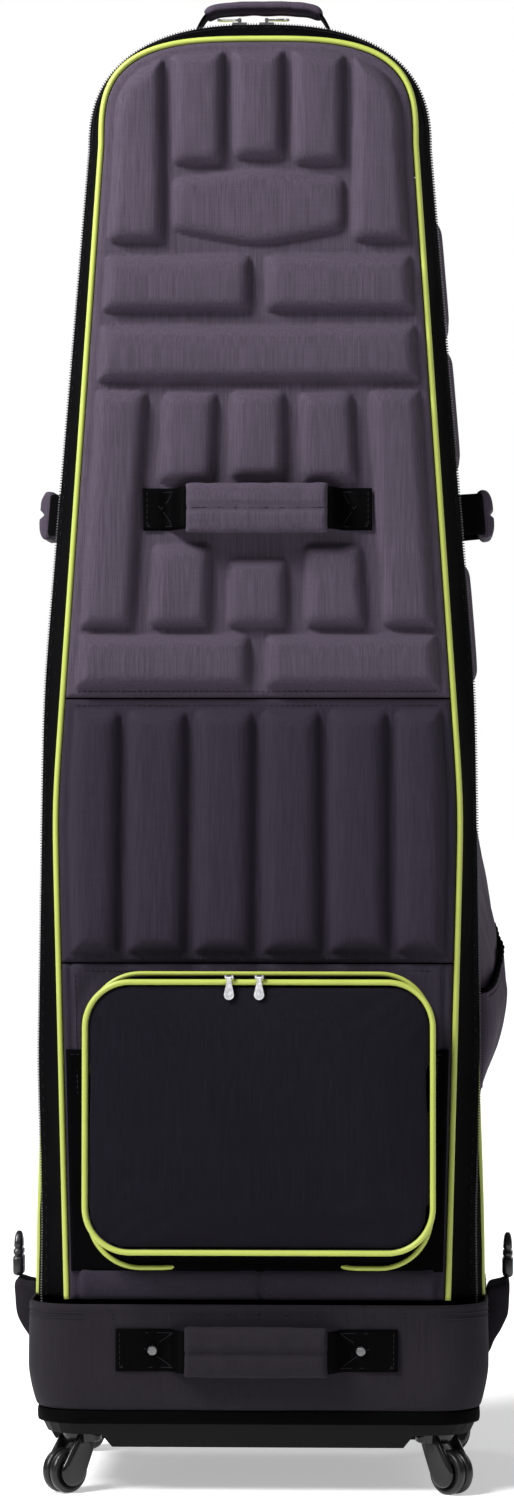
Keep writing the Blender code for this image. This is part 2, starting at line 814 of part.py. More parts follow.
def ribbon_outline(path, thickness):
    """The closed outline of a strip of a thickness along a flat path."""
    sides = ([], [])
    for i, point in enumerate(path):
        here = Vector(point)
        before = Vector(path[max(i - 1, 0)])
        after = Vector(path[min(i + 1, len(path) - 1)])
        first = (here - before).normalized() if i else (after - here).normalized()
        second = (after - here).normalized() if i + 1 < len(path) else first
        normal = (Vector((-first.y, first.x)) + Vector((-second.y, second.x))).normalized()
        reach = thickness / 2 / max(normal.dot(Vector((-first.y, first.x))), 0.5)
        sides[0].append(tuple(here + normal * reach))
        sides[1].append(tuple(here - normal * reach))
    return sides[0] + sides[1][::-1]


def handle_path(grip_length, foot, rise):
    """A webbing strap's path: two feet on the surface and a level run above it."""
    low = GAP + STRAP_THICKNESS / 2
    inner = grip_length / 2
    outer = inner + HANDLE_RAMP
    left = [(-outer - foot, low), (-outer, low), (-inner, rise)]
    return left + [(-x, z) for x, z in reversed(left)]


def strap_and_grip(path, grip_path, grip_thickness, strap_name, grip_name, place, frame):
    """A webbing strap and the padded grip round it. Local X runs along it and local Z off the surface."""
    stand = Matrix.Rotation(math.pi / 2, 4, "X")
    strap = flat_mesh([ribbon_outline(path, STRAP_THICKNESS)], STRAP_WIDTH)
    strap.transform(place @ stand)
    add(strap_name, strap, WEBBING, frame)
    slot_thickness = STRAP_THICKNESS + 2 * GRIP_SLOT_GAP
    if len(grip_path) == 2:
        slot_path = [(x * 1.2, z) for x, z in grip_path]
    else:
        slot_path = path
    slot = flat_mesh([ribbon_outline(slot_path, slot_thickness)], STRAP_WIDTH + 2 * GRIP_SLOT_GAP)
    slot.transform(place @ stand)
    grip = flat_mesh([ribbon_outline(grip_path, grip_thickness)], GRIP_WIDTH)
    grip.transform(place @ stand)
    node = add(grip_name, grip, FABRIC, frame)
    bevel(node, 0.0026, 1)
    boolean(node, cutter(f"{grip_name}_slot", slot, frame))


def build_front_handle(lid):
    """The handle in the middle of the lid."""
    z = FRONT_HANDLE_Z
    tilt = Matrix.Rotation(math.pi / 2 - math.atan(LEAN), 4, "X")
    place = Matrix.Translation((0, front_y(z) - GAP, z)) @ tilt
    inner = GRIP_LENGTH / 2 - HANDLE_RAMP / 4
    path = handle_path(GRIP_LENGTH, FRONT_FOOT, FRONT_HANDLE_RISE)
    grip = [(-inner, FRONT_HANDLE_RISE), (inner, FRONT_HANDLE_RISE)]
    strap_and_grip(path, grip, GRIP_THICKNESS, "front_handle_strap", "front_handle_grip", place, lid)


def build_base_handle(case):
    """The riveted handle on the front of the base."""
    tilt = Matrix.Rotation(math.pi / 2, 4, "X")
    place = Matrix.Translation((0, -COVER_HALF_DEPTH, BASE_HANDLE_Z)) @ tilt
    inner = GRIP_LENGTH / 2 - HANDLE_RAMP / 4
    path = handle_path(GRIP_LENGTH, BASE_FOOT, BASE_HANDLE_RISE)
    grip = [(-inner, BASE_HANDLE_RISE), (inner, BASE_HANDLE_RISE)]
    strap_and_grip(path, grip, GRIP_THICKNESS, "base_handle_strap", "base_handle_grip", place, case)
    face = -COVER_HALF_DEPTH - GAP - STRAP_THICKNESS - GAP
    for name, x in (("left", -RIVET_X), ("right", RIVET_X)):
        middle = (x, face - RIVET_HEIGHT / 2, BASE_HANDLE_Z)
        rivet = cylinder(RIVET_RADIUS, RIVET_HEIGHT, middle, "Y", 12)
        bevel(add(f"base_rivet_{name}", rivet, CHROME, case), RIVET_HEIGHT / 3, 1)


def build_side_handles(case):
    """A handle along the depth on each side panel, turned to the panel's slope."""
    slope = math.atan((SHELL.waist - SHELL.shoulder) / (SHOULDER_Z - SHELL.waist_z))
    inner = SIDE_GRIP_LENGTH / 2 - HANDLE_RAMP / 4
    path = handle_path(SIDE_GRIP_LENGTH, SIDE_FOOT, SIDE_HANDLE_RISE)
    grip = [(-inner, SIDE_HANDLE_RISE), (inner, SIDE_HANDLE_RISE)]
    along_depth = Matrix.Rotation(math.pi / 2, 4, "Z")
    for name, side in (("left", -1), ("right", 1)):
        outwards = Matrix.Rotation(side * (math.pi / 2 - slope), 4, "Y")
        surface = side * (half_width(SHELL, SIDE_HANDLE_Z) + GAP)
        place = Matrix.Translation((surface, SIDE_HANDLE_Y, SIDE_HANDLE_Z)) @ outwards @ along_depth
        names = (f"side_handle_{name}_strap", f"side_handle_{name}_grip")
        strap_and_grip(path, grip, GRIP_THICKNESS, *names, place, case)


def build_top_handle(case):
    """The arched handle over the crown, its feet following the crown's curve."""
    lift = 2 * GAP + STRAP_THICKNESS / 2
    half = TOP_HANDLE_HALF
    peak = crown_z(SHELL, 0) + TOP_HANDLE_RISE
    feet = []
    for x in (half + TOP_FOOT * share for share in (1, 0.6, 0.2)):
        feet.append((x, crown_z(SHELL, x) + lift))
    arch = []
    for x in (half * 0.82, half * 0.45):
        drop = (TOP_HANDLE_RISE - STRAP_THICKNESS) * (x / half) ** 4 * 0.5
        arch.append((x, peak - drop))
    left = [(-x, z) for x, z in feet + arch]
    path = left + [(0, peak)] + [(-x, z) for x, z in reversed(left)]
    grip = [point for point in path if abs(point[0]) < half * 0.85]
    place = Matrix.Translation((0, TOP_HANDLE_Y, 0))
    strap_and_grip(path, grip, TOP_GRIP_THICKNESS, "top_handle_strap", "top_handle_grip", place, case)


# Lid


def face_piece(low, high):
    """The outline of a slice of the lid's face, inside the piping. With no top it goes over the crown."""
    inner = shrunk(LID_FACE, PANEL_INSET)
    if high is None:
        left = flank(inner, low, SHOULDER_Z)[:-1]
        return left + crown(inner) + [(-x, z) for x, z in reversed(left)]
    left = flank(inner, low, high)
    return left + [(-x, z) for x, z in reversed(left)]


def build_lid(lid):
    """The front that folds down: three face panels, their piping, the gusset and its half of the zip."""
    seam = SEAM_GAP / 2
    slices = {
        "front_panel": (RIB_SEAM_Z + seam, None),
        "rib_panel": (POCKET_SEAM_Z + seam, RIB_SEAM_Z - seam),
        "lower_panel": (LID_BOTTOM_Z, POCKET_SEAM_Z - seam),
    }
    for name, (low, high) in slices.items():
        add(name, upright([face_piece(low, high)], 0, PANEL_THICKNESS), FABRIC, lid)
    piping = at_depth(arch_points(LID_FACE, LID_BOTTOM_Z), PIPING_DEPTH)
    tube("front_piping", piping, PIPING_RADIUS, LIME, lid)
    gusset_front = PIPING_DEPTH + PIPING_RADIUS + GAP
    chain_back = ZIP_DEPTH - GAP
    chain_front = chain_back - CHAIN_WIDTH
    band(
        "front_gusset",
        LID_FACE,
        gusset_front,
        SHELL,
        chain_front - GAP - GUSSET_WALL,
        GUSSET_WALL,
        LID_BOTTOM_Z,
        WEBBING,
        lid,
    )
    proud = shrunk(SHELL, -CHAIN_PROUD)
    band("front_zip_chain", proud, chain_front, proud, chain_back, CHAIN_WALL, LID_BOTTOM_Z, CHAIN, lid)


# Front pocket


def pocket_ring(front, front_offset, back, back_offset, wall):
    """A closed ring round the pocket between two depths in front of the lid's face."""
    rings = [
        at_depth(loop_points(POCKET, front_offset), -front),
        at_depth(loop_points(POCKET, back_offset), -back),
    ]
    return thickened(loft(rings), wall)


def pocket_chain_front():
    """How far the front of the pocket's zip stands off the lid's face."""
    return POCKET_BACK_DEPTH + GAP + POCKET_CHAIN_WIDTH


def build_pocket(lid, flap):
    """The pocket: a flared wall, its zip and rear piping on the lid, and a dished cover that folds down."""
    slope = POCKET_FLARE / POCKET_BACK_DEPTH
    wall = pocket_ring(POCKET_BACK_DEPTH, 0, GAP + POCKET_WALL * slope, POCKET_FLARE, POCKET_WALL)
    add("pocket_wall", wall, WEBBING, lid)
    chain_back = POCKET_BACK_DEPTH + GAP
    chain = pocket_ring(pocket_chain_front(), CHAIN_PROUD, chain_back, CHAIN_PROUD, CHAIN_WALL)
    add("pocket_zip_chain", chain, CHAIN, lid)
    rear = loop_points(POCKET, POCKET_FLARE + POCKET_PIPING_RADIUS + GAP)
    rear_depth = -POCKET_PIPING_RADIUS - 2 * GAP
    tube("pocket_rear_piping", at_depth(rear, rear_depth), POCKET_PIPING_RADIUS, LIME, lid, cyclic=True)

    rings = [
        at_depth(loop_points(POCKET), -POCKET_FACE_DEPTH),
        at_depth(loop_points(POCKET), -pocket_chain_front() - GAP),
    ]
    add("pocket_cover", thickened(loft(rings, first_cap=True), POCKET_WALL), POCKET_FABRIC, flap)
    front = loop_points(POCKET, PIPING_RADIUS + GAP)
    front_depth = PIPING_RADIUS - POCKET_FACE_DEPTH
    tube("pocket_front_piping", at_depth(front, front_depth), PIPING_RADIUS, LIME, flap, cyclic=True)


# Zip sliders


def slider_mesh(arm):
    """A slider lying on the XY plane that runs along X, with two prongs and a bar for its pull.

    With no arm the bar stands over the slider and runs along Y. With an arm it runs along X, that far
    to the front.
    """
    half_length, half_across = SLIDER_LENGTH / 2, SLIDER_WIDTH / 2
    pieces = [block((-half_length, -half_across, 0), (half_length, half_across, SLIDER_THICKNESS))]
    near = KNUCKLE_LENGTH / 2 + PIN_CLEARANCE
    top = SLIDER_BAR_Z + SLIDER_PRONG
    for side in (-1, 1):
        low, high = sorted((side * near, side * (near + SLIDER_PRONG)))
        if arm:
            arm_foot = SLIDER_BAR_Z - SLIDER_PRONG / 2
            pieces.append(block((low, -arm - SLIDER_PRONG, arm_foot), (high, 0, top)))
            pieces.append(block((low, -half_across, SLIDER_THICKNESS / 2), (high, 0, SLIDER_BAR_Z)))
        else:
            pieces.append(block((-SLIDER_PRONG, low, SLIDER_THICKNESS / 2), (SLIDER_PRONG, high, top)))
    length = 2 * near + SLIDER_PRONG
    pieces.append(cylinder(SLIDER_BAR_RADIUS, length, (0, -arm, SLIDER_BAR_Z), "X" if arm else "Y", 8))
    return united(pieces)


def pull_mesh():
    """A drop-shaped pull in the XY plane that hangs along -X from a knuckle round the Y axis."""
    tail = PULL_LENGTH - PULL_WIDTH / 2
    outline = [(-KNUCKLE_BORE * 1.2, -KNUCKLE_LENGTH / 2), (-KNUCKLE_BORE * 1.2, KNUCKLE_LENGTH / 2)]
    outline.append((-KNUCKLE_RADIUS * 2, KNUCKLE_LENGTH / 2))
    for step in range(7):
        angle = math.radians(90 + 30 * step)
        outline.append((-tail + PULL_WIDTH / 2 * math.cos(angle), PULL_WIDTH / 2 * math.sin(angle)))
    outline.append((-KNUCKLE_RADIUS * 2, -KNUCKLE_LENGTH / 2))
    plate = flat_mesh([outline], PULL_THICKNESS)
    circles = [
        [(r * math.cos(math.radians(30 * k)), r * math.sin(math.radians(30 * k))) for k in range(12)]
        for r in (KNUCKLE_RADIUS, KNUCKLE_BORE)
    ]
    knuckle = flat_mesh(circles, KNUCKLE_LENGTH)
    knuckle.transform(Matrix.Rotation(math.pi / 2, 4, "X"))
    return united([plate, knuckle])


def add_slider(name, place, arm, hang, frame):
    """A slider on a frame of its own, and its pull on a frame at the bar, turned by hang."""
    slider = body_frame(f"{name}_slider_body", place, frame)
    add(f"{name}_slider", slider_mesh(arm), CHROME, slider, local=True)
    pull = body_frame(f"{name}_pull_body", (0, -arm, SLIDER_BAR_Z), slider, local=True)
    mesh = pull_mesh()
    mesh.transform(hang)
    add(f"{name}_pull", mesh, CHROME, pull, local=True)


def build_sliders(case, flap):
    """Two sliders on the crown's zip, their pulls lying outwards, and two on the pocket's zip."""
    arm = POCKET_FACE_DEPTH - POCKET_BACK_DEPTH - GAP - POCKET_CHAIN_WIDTH / 2 + KNUCKLE_RADIUS + 2 * GAP
    hanging = Matrix.Rotation(math.pi / 2, 4, "Z") @ Matrix.Rotation(-math.pi / 2, 4, "Y")
    for name, side in (("left", -1), ("right", 1)):
        x = MAIN_SLIDERS_X + side * MAIN_SLIDER_SPREAD
        z = crown_z(SHELL, 0) + CHAIN_PROUD + SLIDER_LIFT
        outwards = Matrix.Rotation(math.pi if side > 0 else 0, 4, "Z")
        add_slider(f"main_{name}", (x, front_y(z) + ZIP_DEPTH, z), 0, outwards, case)
        x = POCKET_SLIDERS_X + side * POCKET_SLIDER_SPREAD
        z = POCKET_TOP_Z + CHAIN_PROUD + SLIDER_LIFT
        depth = pocket_chain_front() - POCKET_CHAIN_WIDTH / 2
        add_slider(f"pocket_{name}", (x, front_y(z) - depth, z), arm, hanging, flap)


# Wings


def build_wings(case):
    """A fabric tab on each side of the base, with a webbing buckle at its top."""
    for name, side in (("left", -1), ("right", 1)):
        near = COVER_HALF_WIDTH + 2 * GAP
        far = near + WING_REACH
        outline = [
            (side * near, WING_BOTTOM_Z),
            (side * far, WING_SHOULDER_Z),
            (side * far, WING_TOP_Z),
            (side * (far - WING_THICKNESS), WING_TOP_Z),
            (side * (far - WING_THICKNESS), WING_SHOULDER_Z + WING_THICKNESS),
            (side * near, WING_BOTTOM_Z + 2 * WING_THICKNESS),
        ]
        wing = upright([outline], WING_Y - WING_LENGTH / 2, WING_Y + WING_LENGTH / 2, leaning=False)
        lug_x = side * (far - WING_THICKNESS / 2)
        pin_z = WING_TOP_Z + BUCKLE_PIN_LIFT
        lugs = []
        for end in (-1, 1):
            inner = BUCKLE_WIDTH / 2 + GAP
            low = sorted((WING_Y + end * inner, WING_Y + end * (inner + WING_THICKNESS)))
            lug = block(
                (lug_x - WING_THICKNESS / 2, low[0], WING_TOP_Z - 0.004),
                (lug_x + WING_THICKNESS / 2, low[1], pin_z + BUCKLE_PIN_RADIUS + 0.001),
            )
            lugs.append(lug)
        place = (lug_x, WING_Y, pin_z)
        pin = cylinder(BUCKLE_PIN_RADIUS - GAP, BUCKLE_WIDTH + WING_THICKNESS, place, "Y", 10)
        add(f"wing_{name}", united([wing, *lugs, pin]), FABRIC, case)

        swing = body_frame(f"buckle_{name}_body", (lug_x, WING_Y, pin_z), case)
        half = BUCKLE_WIDTH / 2
        outline = [
            (-half * 0.95, -BUCKLE_PIN_RADIUS - 0.0014),
            (half * 0.95, -BUCKLE_PIN_RADIUS - 0.0014),
            (half, 0.004),
            (half, BUCKLE_HEIGHT * 0.35),
            (half * 0.72, BUCKLE_HEIGHT * 0.62),
            (half * 0.58, BUCKLE_HEIGHT * 0.92),
            (half * 0.30, BUCKLE_HEIGHT),
            (-half * 0.30, BUCKLE_HEIGHT),
            (-half * 0.58, BUCKLE_HEIGHT * 0.92),
            (-half * 0.72, BUCKLE_HEIGHT * 0.62),
            (-half, BUCKLE_HEIGHT * 0.35),
            (-half, 0.004),
        ]
        buckle = flat_mesh([outline], BUCKLE_THICKNESS)
        buckle.transform(Matrix.Rotation(math.pi / 2, 4, "Z") @ Matrix.Rotation(math.pi / 2, 4, "X"))
        node = add(f"buckle_{name}", buckle, SHELL_PLASTIC, swing, local=True)
        bore = cutter(
            f"buckle_bore_{name}",
            cylinder(BUCKLE_PIN_RADIUS, 2 * BUCKLE_WIDTH, (lug_x, WING_Y, pin_z), "Y", 10),
            swing,
        )
        boolean(node, bore)
        bevel(node, 0.001, 1)


def build():
    """The whole case, body by body."""
    case = body_frame("case")
    lid = body_frame("lid", (0, FRONT_Y, LID_BOTTOM_Z), case)
    flap_depth = pocket_chain_front() + GAP
    flap = body_frame("pocket_flap", (0, front_y(POCKET_BOTTOM_Z) - flap_depth, POCKET_BOTTOM_Z), lid)
    build_base(case)
    build_casters(case)
    build_shell(case)
    build_inner_straps(case)
    build_side_pocket(case)
    build_lid(lid)
    build_pocket(lid, flap)
    build_front_handle(lid)
    build_base_handle(case)
    build_side_handles(case)
    build_top_handle(case)
    build_sliders(case, flap)
    build_wings(case)
    case.location.y = CASE_SHIFT


build()
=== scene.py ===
"""Looks of a golf travel case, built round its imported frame.

Metres. +Z is up, +X is the case's right seen from the front, and -Y is the front. The front face leans back:
a depth is measured back from it.
"""

import logging
import math
from collections.abc import Callable, Iterable, Sequence
from dataclasses import dataclass, field, replace
from enum import Enum

import bmesh
import bpy
import numpy as np
from mathutils import Matrix, Vector, noise
from mathutils.kdtree import KDTree


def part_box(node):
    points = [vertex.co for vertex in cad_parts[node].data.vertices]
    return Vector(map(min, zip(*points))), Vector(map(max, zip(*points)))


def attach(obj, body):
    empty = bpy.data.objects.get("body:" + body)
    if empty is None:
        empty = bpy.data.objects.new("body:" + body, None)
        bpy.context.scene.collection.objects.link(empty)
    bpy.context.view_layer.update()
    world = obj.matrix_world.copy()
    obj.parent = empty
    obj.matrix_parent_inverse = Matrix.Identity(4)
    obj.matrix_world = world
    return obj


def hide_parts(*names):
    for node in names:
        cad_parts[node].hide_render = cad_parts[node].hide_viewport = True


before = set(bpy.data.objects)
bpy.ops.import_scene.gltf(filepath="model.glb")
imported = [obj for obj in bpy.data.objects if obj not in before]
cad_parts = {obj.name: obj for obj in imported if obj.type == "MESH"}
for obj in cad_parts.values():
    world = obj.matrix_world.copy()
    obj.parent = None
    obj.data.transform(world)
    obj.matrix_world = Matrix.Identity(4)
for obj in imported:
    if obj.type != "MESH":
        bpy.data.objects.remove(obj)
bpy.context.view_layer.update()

LOG = logging.getLogger("golf_travel_case")


# Finishes


class Weave(Enum):
    """How a cloth's yarns run."""

    RIBBED = "ribbed"
    WEBBING = "webbing"
    KNIT = "knit"


class Bench:
    """Adds and joins shader nodes in one new material."""

    def __init__(self, name: str) -> None:
        """Starts a material.

        Args:
            name: The material's name.
        """
        self.material = bpy.data.materials.new(name)
        self.material.use_nodes = True
        self.tree = self.material.node_tree
        self.shader = self.tree.nodes["Principled BSDF"]

    def node(self, kind: str, **settings: object) -> bpy.types.Node:
        """Adds a node.

        Args:
            kind: The node's type, without the ShaderNode prefix.
            **settings: Values for its attributes.

        Returns:
            The node.
        """
        made = self.tree.nodes.new("ShaderNode" + kind)
        for name, value in settings.items():
            setattr(made, name, value)
        return made

    def feed(self, target: bpy.types.NodeSocket, source: object) -> None:
        """Links a socket, or sets its value.

        Args:
            target: The input socket.
            source: An output socket, or a plain value.
        """
        if isinstance(source, bpy.types.NodeSocket):
            self.tree.links.new(source, target)
        else:
            target.default_value = source

    def place(self, scale: tuple[float, float, float]) -> bpy.types.NodeSocket:
        """Object coordinates, stretched.

        Args:
            scale: How many pattern units a metre holds on each axis.

        Returns:
            The vector socket.
        """
        mapping = self.node("Mapping")
        mapping.inputs["Scale"].default_value = scale
        self.feed(mapping.inputs["Vector"], self.node("TexCoord").outputs["Object"])
        return mapping.outputs["Vector"]

    def cloud(self, scale: tuple[float, float, float], detail: float = 3.0) -> bpy.types.NodeSocket:
        """A noise pattern between 0 and 1.

        Args:
            scale: Pattern units a metre on each axis.
            detail: Octaves.

        Returns:
            The factor socket.
        """
        texture = self.node("TexNoise")
        self.feed(texture.inputs["Vector"], self.place(scale))
        texture.inputs["Scale"].default_value = 1.0
        texture.inputs["Detail"].default_value = detail
        return texture.outputs["Fac"]

    def bands(self, axis: str, pitch: float, wobble: float = 0.0) -> bpy.types.NodeSocket:
        """Sine bands across an axis.

        Args:
            axis: X, Y, Z or DIAGONAL.
            pitch: The distance between bands in metres.
            wobble: How much the bands waver.

        Returns:
            The factor socket.
        """
        texture = self.node("TexWave", bands_direction=axis, wave_profile="SIN")
        per_metre = math.pi / (10 * pitch)
        self.feed(texture.inputs["Vector"], self.place((per_metre, per_metre, per_metre)))
        texture.inputs["Scale"].default_value = 2.0
        texture.inputs["Distortion"].default_value = wobble
        texture.inputs["Detail"].default_value = 1.0
        return texture.outputs["Fac"]

    def sum(self, first: object, second: object, operation: str = "ADD") -> bpy.types.NodeSocket:
        """A maths node.

        Args:
            first: Its first value.
            second: Its second value.
            operation: What it does.

        Returns:
            The result's socket.
        """
        made = self.node("Math", operation=operation)
        self.feed(made.inputs[0], first)
        self.feed(made.inputs[1], second)
        return made.outputs[0]

    def span(self, factor: object, low: float, high: float) -> bpy.types.NodeSocket:
        """A factor between 0.3 and 0.7 spread over a range.

        Args:
            factor: The factor socket.
            low: The result at 0.3.
            high: The result at 0.7.

        Returns:
            The result's socket.
        """
        made = self.node("MapRange")
        made.inputs["From Min"].default_value = 0.3
        made.inputs["From Max"].default_value = 0.7
        made.inputs["To Min"].default_value = low
        made.inputs["To Max"].default_value = high
        self.feed(made.inputs["Value"], factor)
        return made.outputs["Result"]

    def blend(self, factor: object, first: object, second: object) -> bpy.types.NodeSocket:
        """A mix of two colours.

        Args:
            factor: 0 for the first, 1 for the second.
            first: A colour or a colour socket.
            second: A colour or a colour socket.

        Returns:
            The colour socket.
        """
        made = self.node("Mix", data_type="RGBA")
        self.feed(made.inputs[0], factor)
        for target, color in ((made.inputs[6], first), (made.inputs[7], second)):
            self.feed(target, (*color, 1.0) if isinstance(color, tuple) else color)
        return made.outputs[2]

    def emboss(self, height: object, distance: float, strength: float = 1.0) -> None:
        """Adds a bump to the shader, over any that it has.

        Args:
            height: The height socket, from 0 to 1.
            distance: What a height of 1 stands for, in metres.
            strength: How much of it shows.
        """
        bump = self.node("Bump")
        bump.inputs["Distance"].default_value = distance
        bump.inputs["Strength"].default_value = strength
        self.feed(bump.inputs["Height"], height)
        normal = self.shader.inputs["Normal"]
        if normal.is_linked:
            self.feed(bump.inputs["Normal"], normal.links[0].from_socket)
        self.feed(normal, bump.outputs["Normal"])

    def set(self, **values: float) -> None:
        """Sets constants on the shader's own sockets, with _ for a space in a socket's name."""
        for name, value in values.items():
            self.shader.inputs[name.replace("_", " ")].default_value = value


@dataclass(frozen=True)
class Cloth:
    """A woven finish: its colour, the streaks of its yarns and its weave."""

    name: str
    slot: str
    color: tuple[float, float, float]
    light: float = 1.32
    dark: float = 0.72
    weave: Weave = Weave.RIBBED
    pitch: float = 0.0011
    roughness: float = 0.72
    rub: float = 0.07
    sheen: float = 0.02
    gloss: float = 0.08

    def make(self) -> bpy.types.Material:
        """Builds the material."""
        bench = Bench(self.name)
        pale = tuple(c * self.light for c in self.color)
        deep = tuple(c * self.dark for c in self.color)
        streak = bench.cloud((900.0, 900.0, 16.0), 2.0)
        cross = bench.cloud((30.0, 30.0, 900.0), 2.0)
        patch = bench.cloud((9.0, 9.0, 6.0), 4.0)
        yarn = bench.sum(bench.sum(streak, 0.80, "MULTIPLY"), bench.sum(cross, 0.20, "MULTIPLY"))
        tone = bench.blend(bench.span(yarn, 0.0, 1.0), deep, pale)
        dust = bench.span(patch, 0.0, 0.28)
        bench.feed(bench.shader.inputs["Base Color"], bench.blend(dust, tone, self.color))
        low, high = self.roughness - self.rub, self.roughness + self.rub
        bench.feed(bench.shader.inputs["Roughness"], bench.span(patch, low, high))
        warp = bench.bands("X", self.pitch)
        weft = bench.bands("Z", self.pitch * 1.25)
        if self.weave is Weave.WEBBING:
            warp = bench.bands("DIAGONAL", self.pitch)
        if self.weave is Weave.KNIT:
            weft = bench.cloud((900.0, 900.0, 900.0), 1.0)
        bench.emboss(bench.sum(warp, weft, "MULTIPLY"), self.pitch * 0.22, 0.8)
        bench.emboss(yarn, 0.00022, 0.7)
        bench.set(Sheen_Weight=self.sheen, Sheen_Roughness=0.4, Specular_IOR_Level=self.gloss)
        return bench.material


@dataclass(frozen=True)
class Moulded:
    """A moulded plastic or coated finish: grain, scuffs and a surface from matte to glossy."""

    name: str
    slot: str
    color: tuple[float, float, float]
    roughness: float = 0.45
    grain: float = 1500.0
    grain_depth: float = 0.00005
    scuff: float = 0.25
    coat: float = 0.0
    gloss: float = 0.5

    def make(self) -> bpy.types.Material:
        """Builds the material."""
        bench = Bench(self.name)
        wear = bench.cloud((35.0, 35.0, 22.0), 6.0)
        worn = tuple(min(c * (1 + self.scuff) + 0.003 * self.scuff, 1.0) for c in self.color)
        color = bench.blend(bench.span(wear, 0.0, 1.0), self.color, worn)
        bench.feed(bench.shader.inputs["Base Color"], color)
        rough = bench.span(wear, self.roughness * 0.85, min(self.roughness * 1.2, 1.0))
        bench.feed(bench.shader.inputs["Roughness"], rough)
        bench.emboss(bench.cloud((self.grain, self.grain, self.grain), 2.0), self.grain_depth)
        bench.set(Coat_Weight=self.coat, Coat_Roughness=0.2, Specular_IOR_Level=self.gloss)
        return bench.material


@dataclass(frozen=True)
class Plated:
    """Bright plated metal with fine rubbing marks."""

    name: str = "bright_plating"
    slot: str = "bright_metal"
    color: tuple[float, float, float] = (0.78, 0.78, 0.80)

    def make(self) -> bpy.types.Material:
        """Builds the material."""
        bench = Bench(self.name)
        marks = bench.cloud((300.0, 2400.0, 300.0), 5.0)
        dull = tuple(c * 0.8 for c in self.color)
        color = bench.blend(bench.span(marks, 0.0, 1.0), self.color, dull)
        bench.feed(bench.shader.inputs["Base Color"], color)
        bench.feed(bench.shader.inputs["Roughness"], bench.span(marks, 0.08, 0.24))
        bench.emboss(marks, 0.00001)
        bench.set(Metallic=1.0)
        return bench.material


SHELL_CLOTH = Cloth("shell_cloth", "shell_fabric", (0.050, 0.039, 0.057))
# Painted shade: the rib panel is the shell's own cloth, darkened for the weaker light lower on the front.
RIB_CLOTH_PAINTED_SHADE = Cloth("rib_cloth", "shell_fabric", (0.0190, 0.0150, 0.0240))
# Painted shade: the lower panel is the shell's own cloth, darkened further for the light that falls off
# towards the hem.
LOWER_CLOTH_PAINTED_SHADE = Cloth("lower_cloth", "shell_fabric", (0.0190, 0.0155, 0.0240))
POCKET_CLOTH = Cloth("pocket_cloth", "pocket_fabric", (0.0052, 0.0045, 0.0078), pitch=0.0008, gloss=0.05)
BASE_CLOTH = Cloth("base_cloth", "base_fabric", (0.0125, 0.0104, 0.0145), pitch=0.0013, light=1.22, dark=0.8)
WEBBING = Cloth(
    "webbing",
    "webbing",
    (0.0008, 0.0008, 0.001),
    weave=Weave.WEBBING,
    pitch=0.0016,
    roughness=0.65,
    sheen=0.0,
    gloss=0.02,
)
GUSSET_CLOTH = Cloth("gusset_cloth", "webbing", (0.0008, 0.0008, 0.0011), pitch=0.0008, sheen=0.0, gloss=0.02)
LINING = Cloth("lining", "lining", (0.022, 0.022, 0.025), weave=Weave.KNIT, pitch=0.0015, roughness=0.9)
THREAD = Cloth("thread", "shell_fabric", (0.020, 0.017, 0.024), pitch=0.0004)
BLACK_THREAD = Cloth("black_thread", "webbing", (0.010, 0.010, 0.012), pitch=0.0004)
LIME_CORD = Moulded("lime_cord", "piping", (0.30, 0.35, 0.055), 0.5, 900.0, 0.00006, 0.10, 0.05)
ZIP_TEETH = Moulded("zip_teeth", "zip", (0.040, 0.040, 0.044), 0.30, 1200.0, 0.00003)
BASE_PLASTIC = Moulded(
    "base_plastic", "base_plastic", (0.0022, 0.0022, 0.0026), 0.55, 1300.0, 0.00009, gloss=0.08
)
WHEEL_PLASTIC = Moulded(
    "wheel_plastic", "wheel_plastic", (0.004, 0.004, 0.0045), 0.16, 700.0, 0.00002, 0.2, 0.06, 0.3
)
TREAD = Moulded(
    "tread_rubber", "wheel_plastic", (0.006, 0.006, 0.0066), 0.30, 1100.0, 0.00005, 0.4, gloss=0.3
)
BUCKLE_PLASTIC = Moulded("buckle_plastic", "buckle_plastic", (0.008, 0.008, 0.009), 0.3, 900.0, 0.00004)
PLATING = Plated()
RIVET = Plated("rivet_plating", color=(0.14, 0.14, 0.145))
Finish = Cloth | Moulded | Plated


class Wardrobe:
    """Makes each finish's material once."""

    def __init__(self) -> None:
        """Starts with no materials."""
        self.made: dict[str, bpy.types.Material] = {}

    def of(self, finish: Finish) -> bpy.types.Material:
        """The material of a finish."""
        if finish.name not in self.made:
            self.made[finish.name] = finish.make()
        return self.made[finish.name]


WARDROBE = Wardrobe()


# Shape of the case


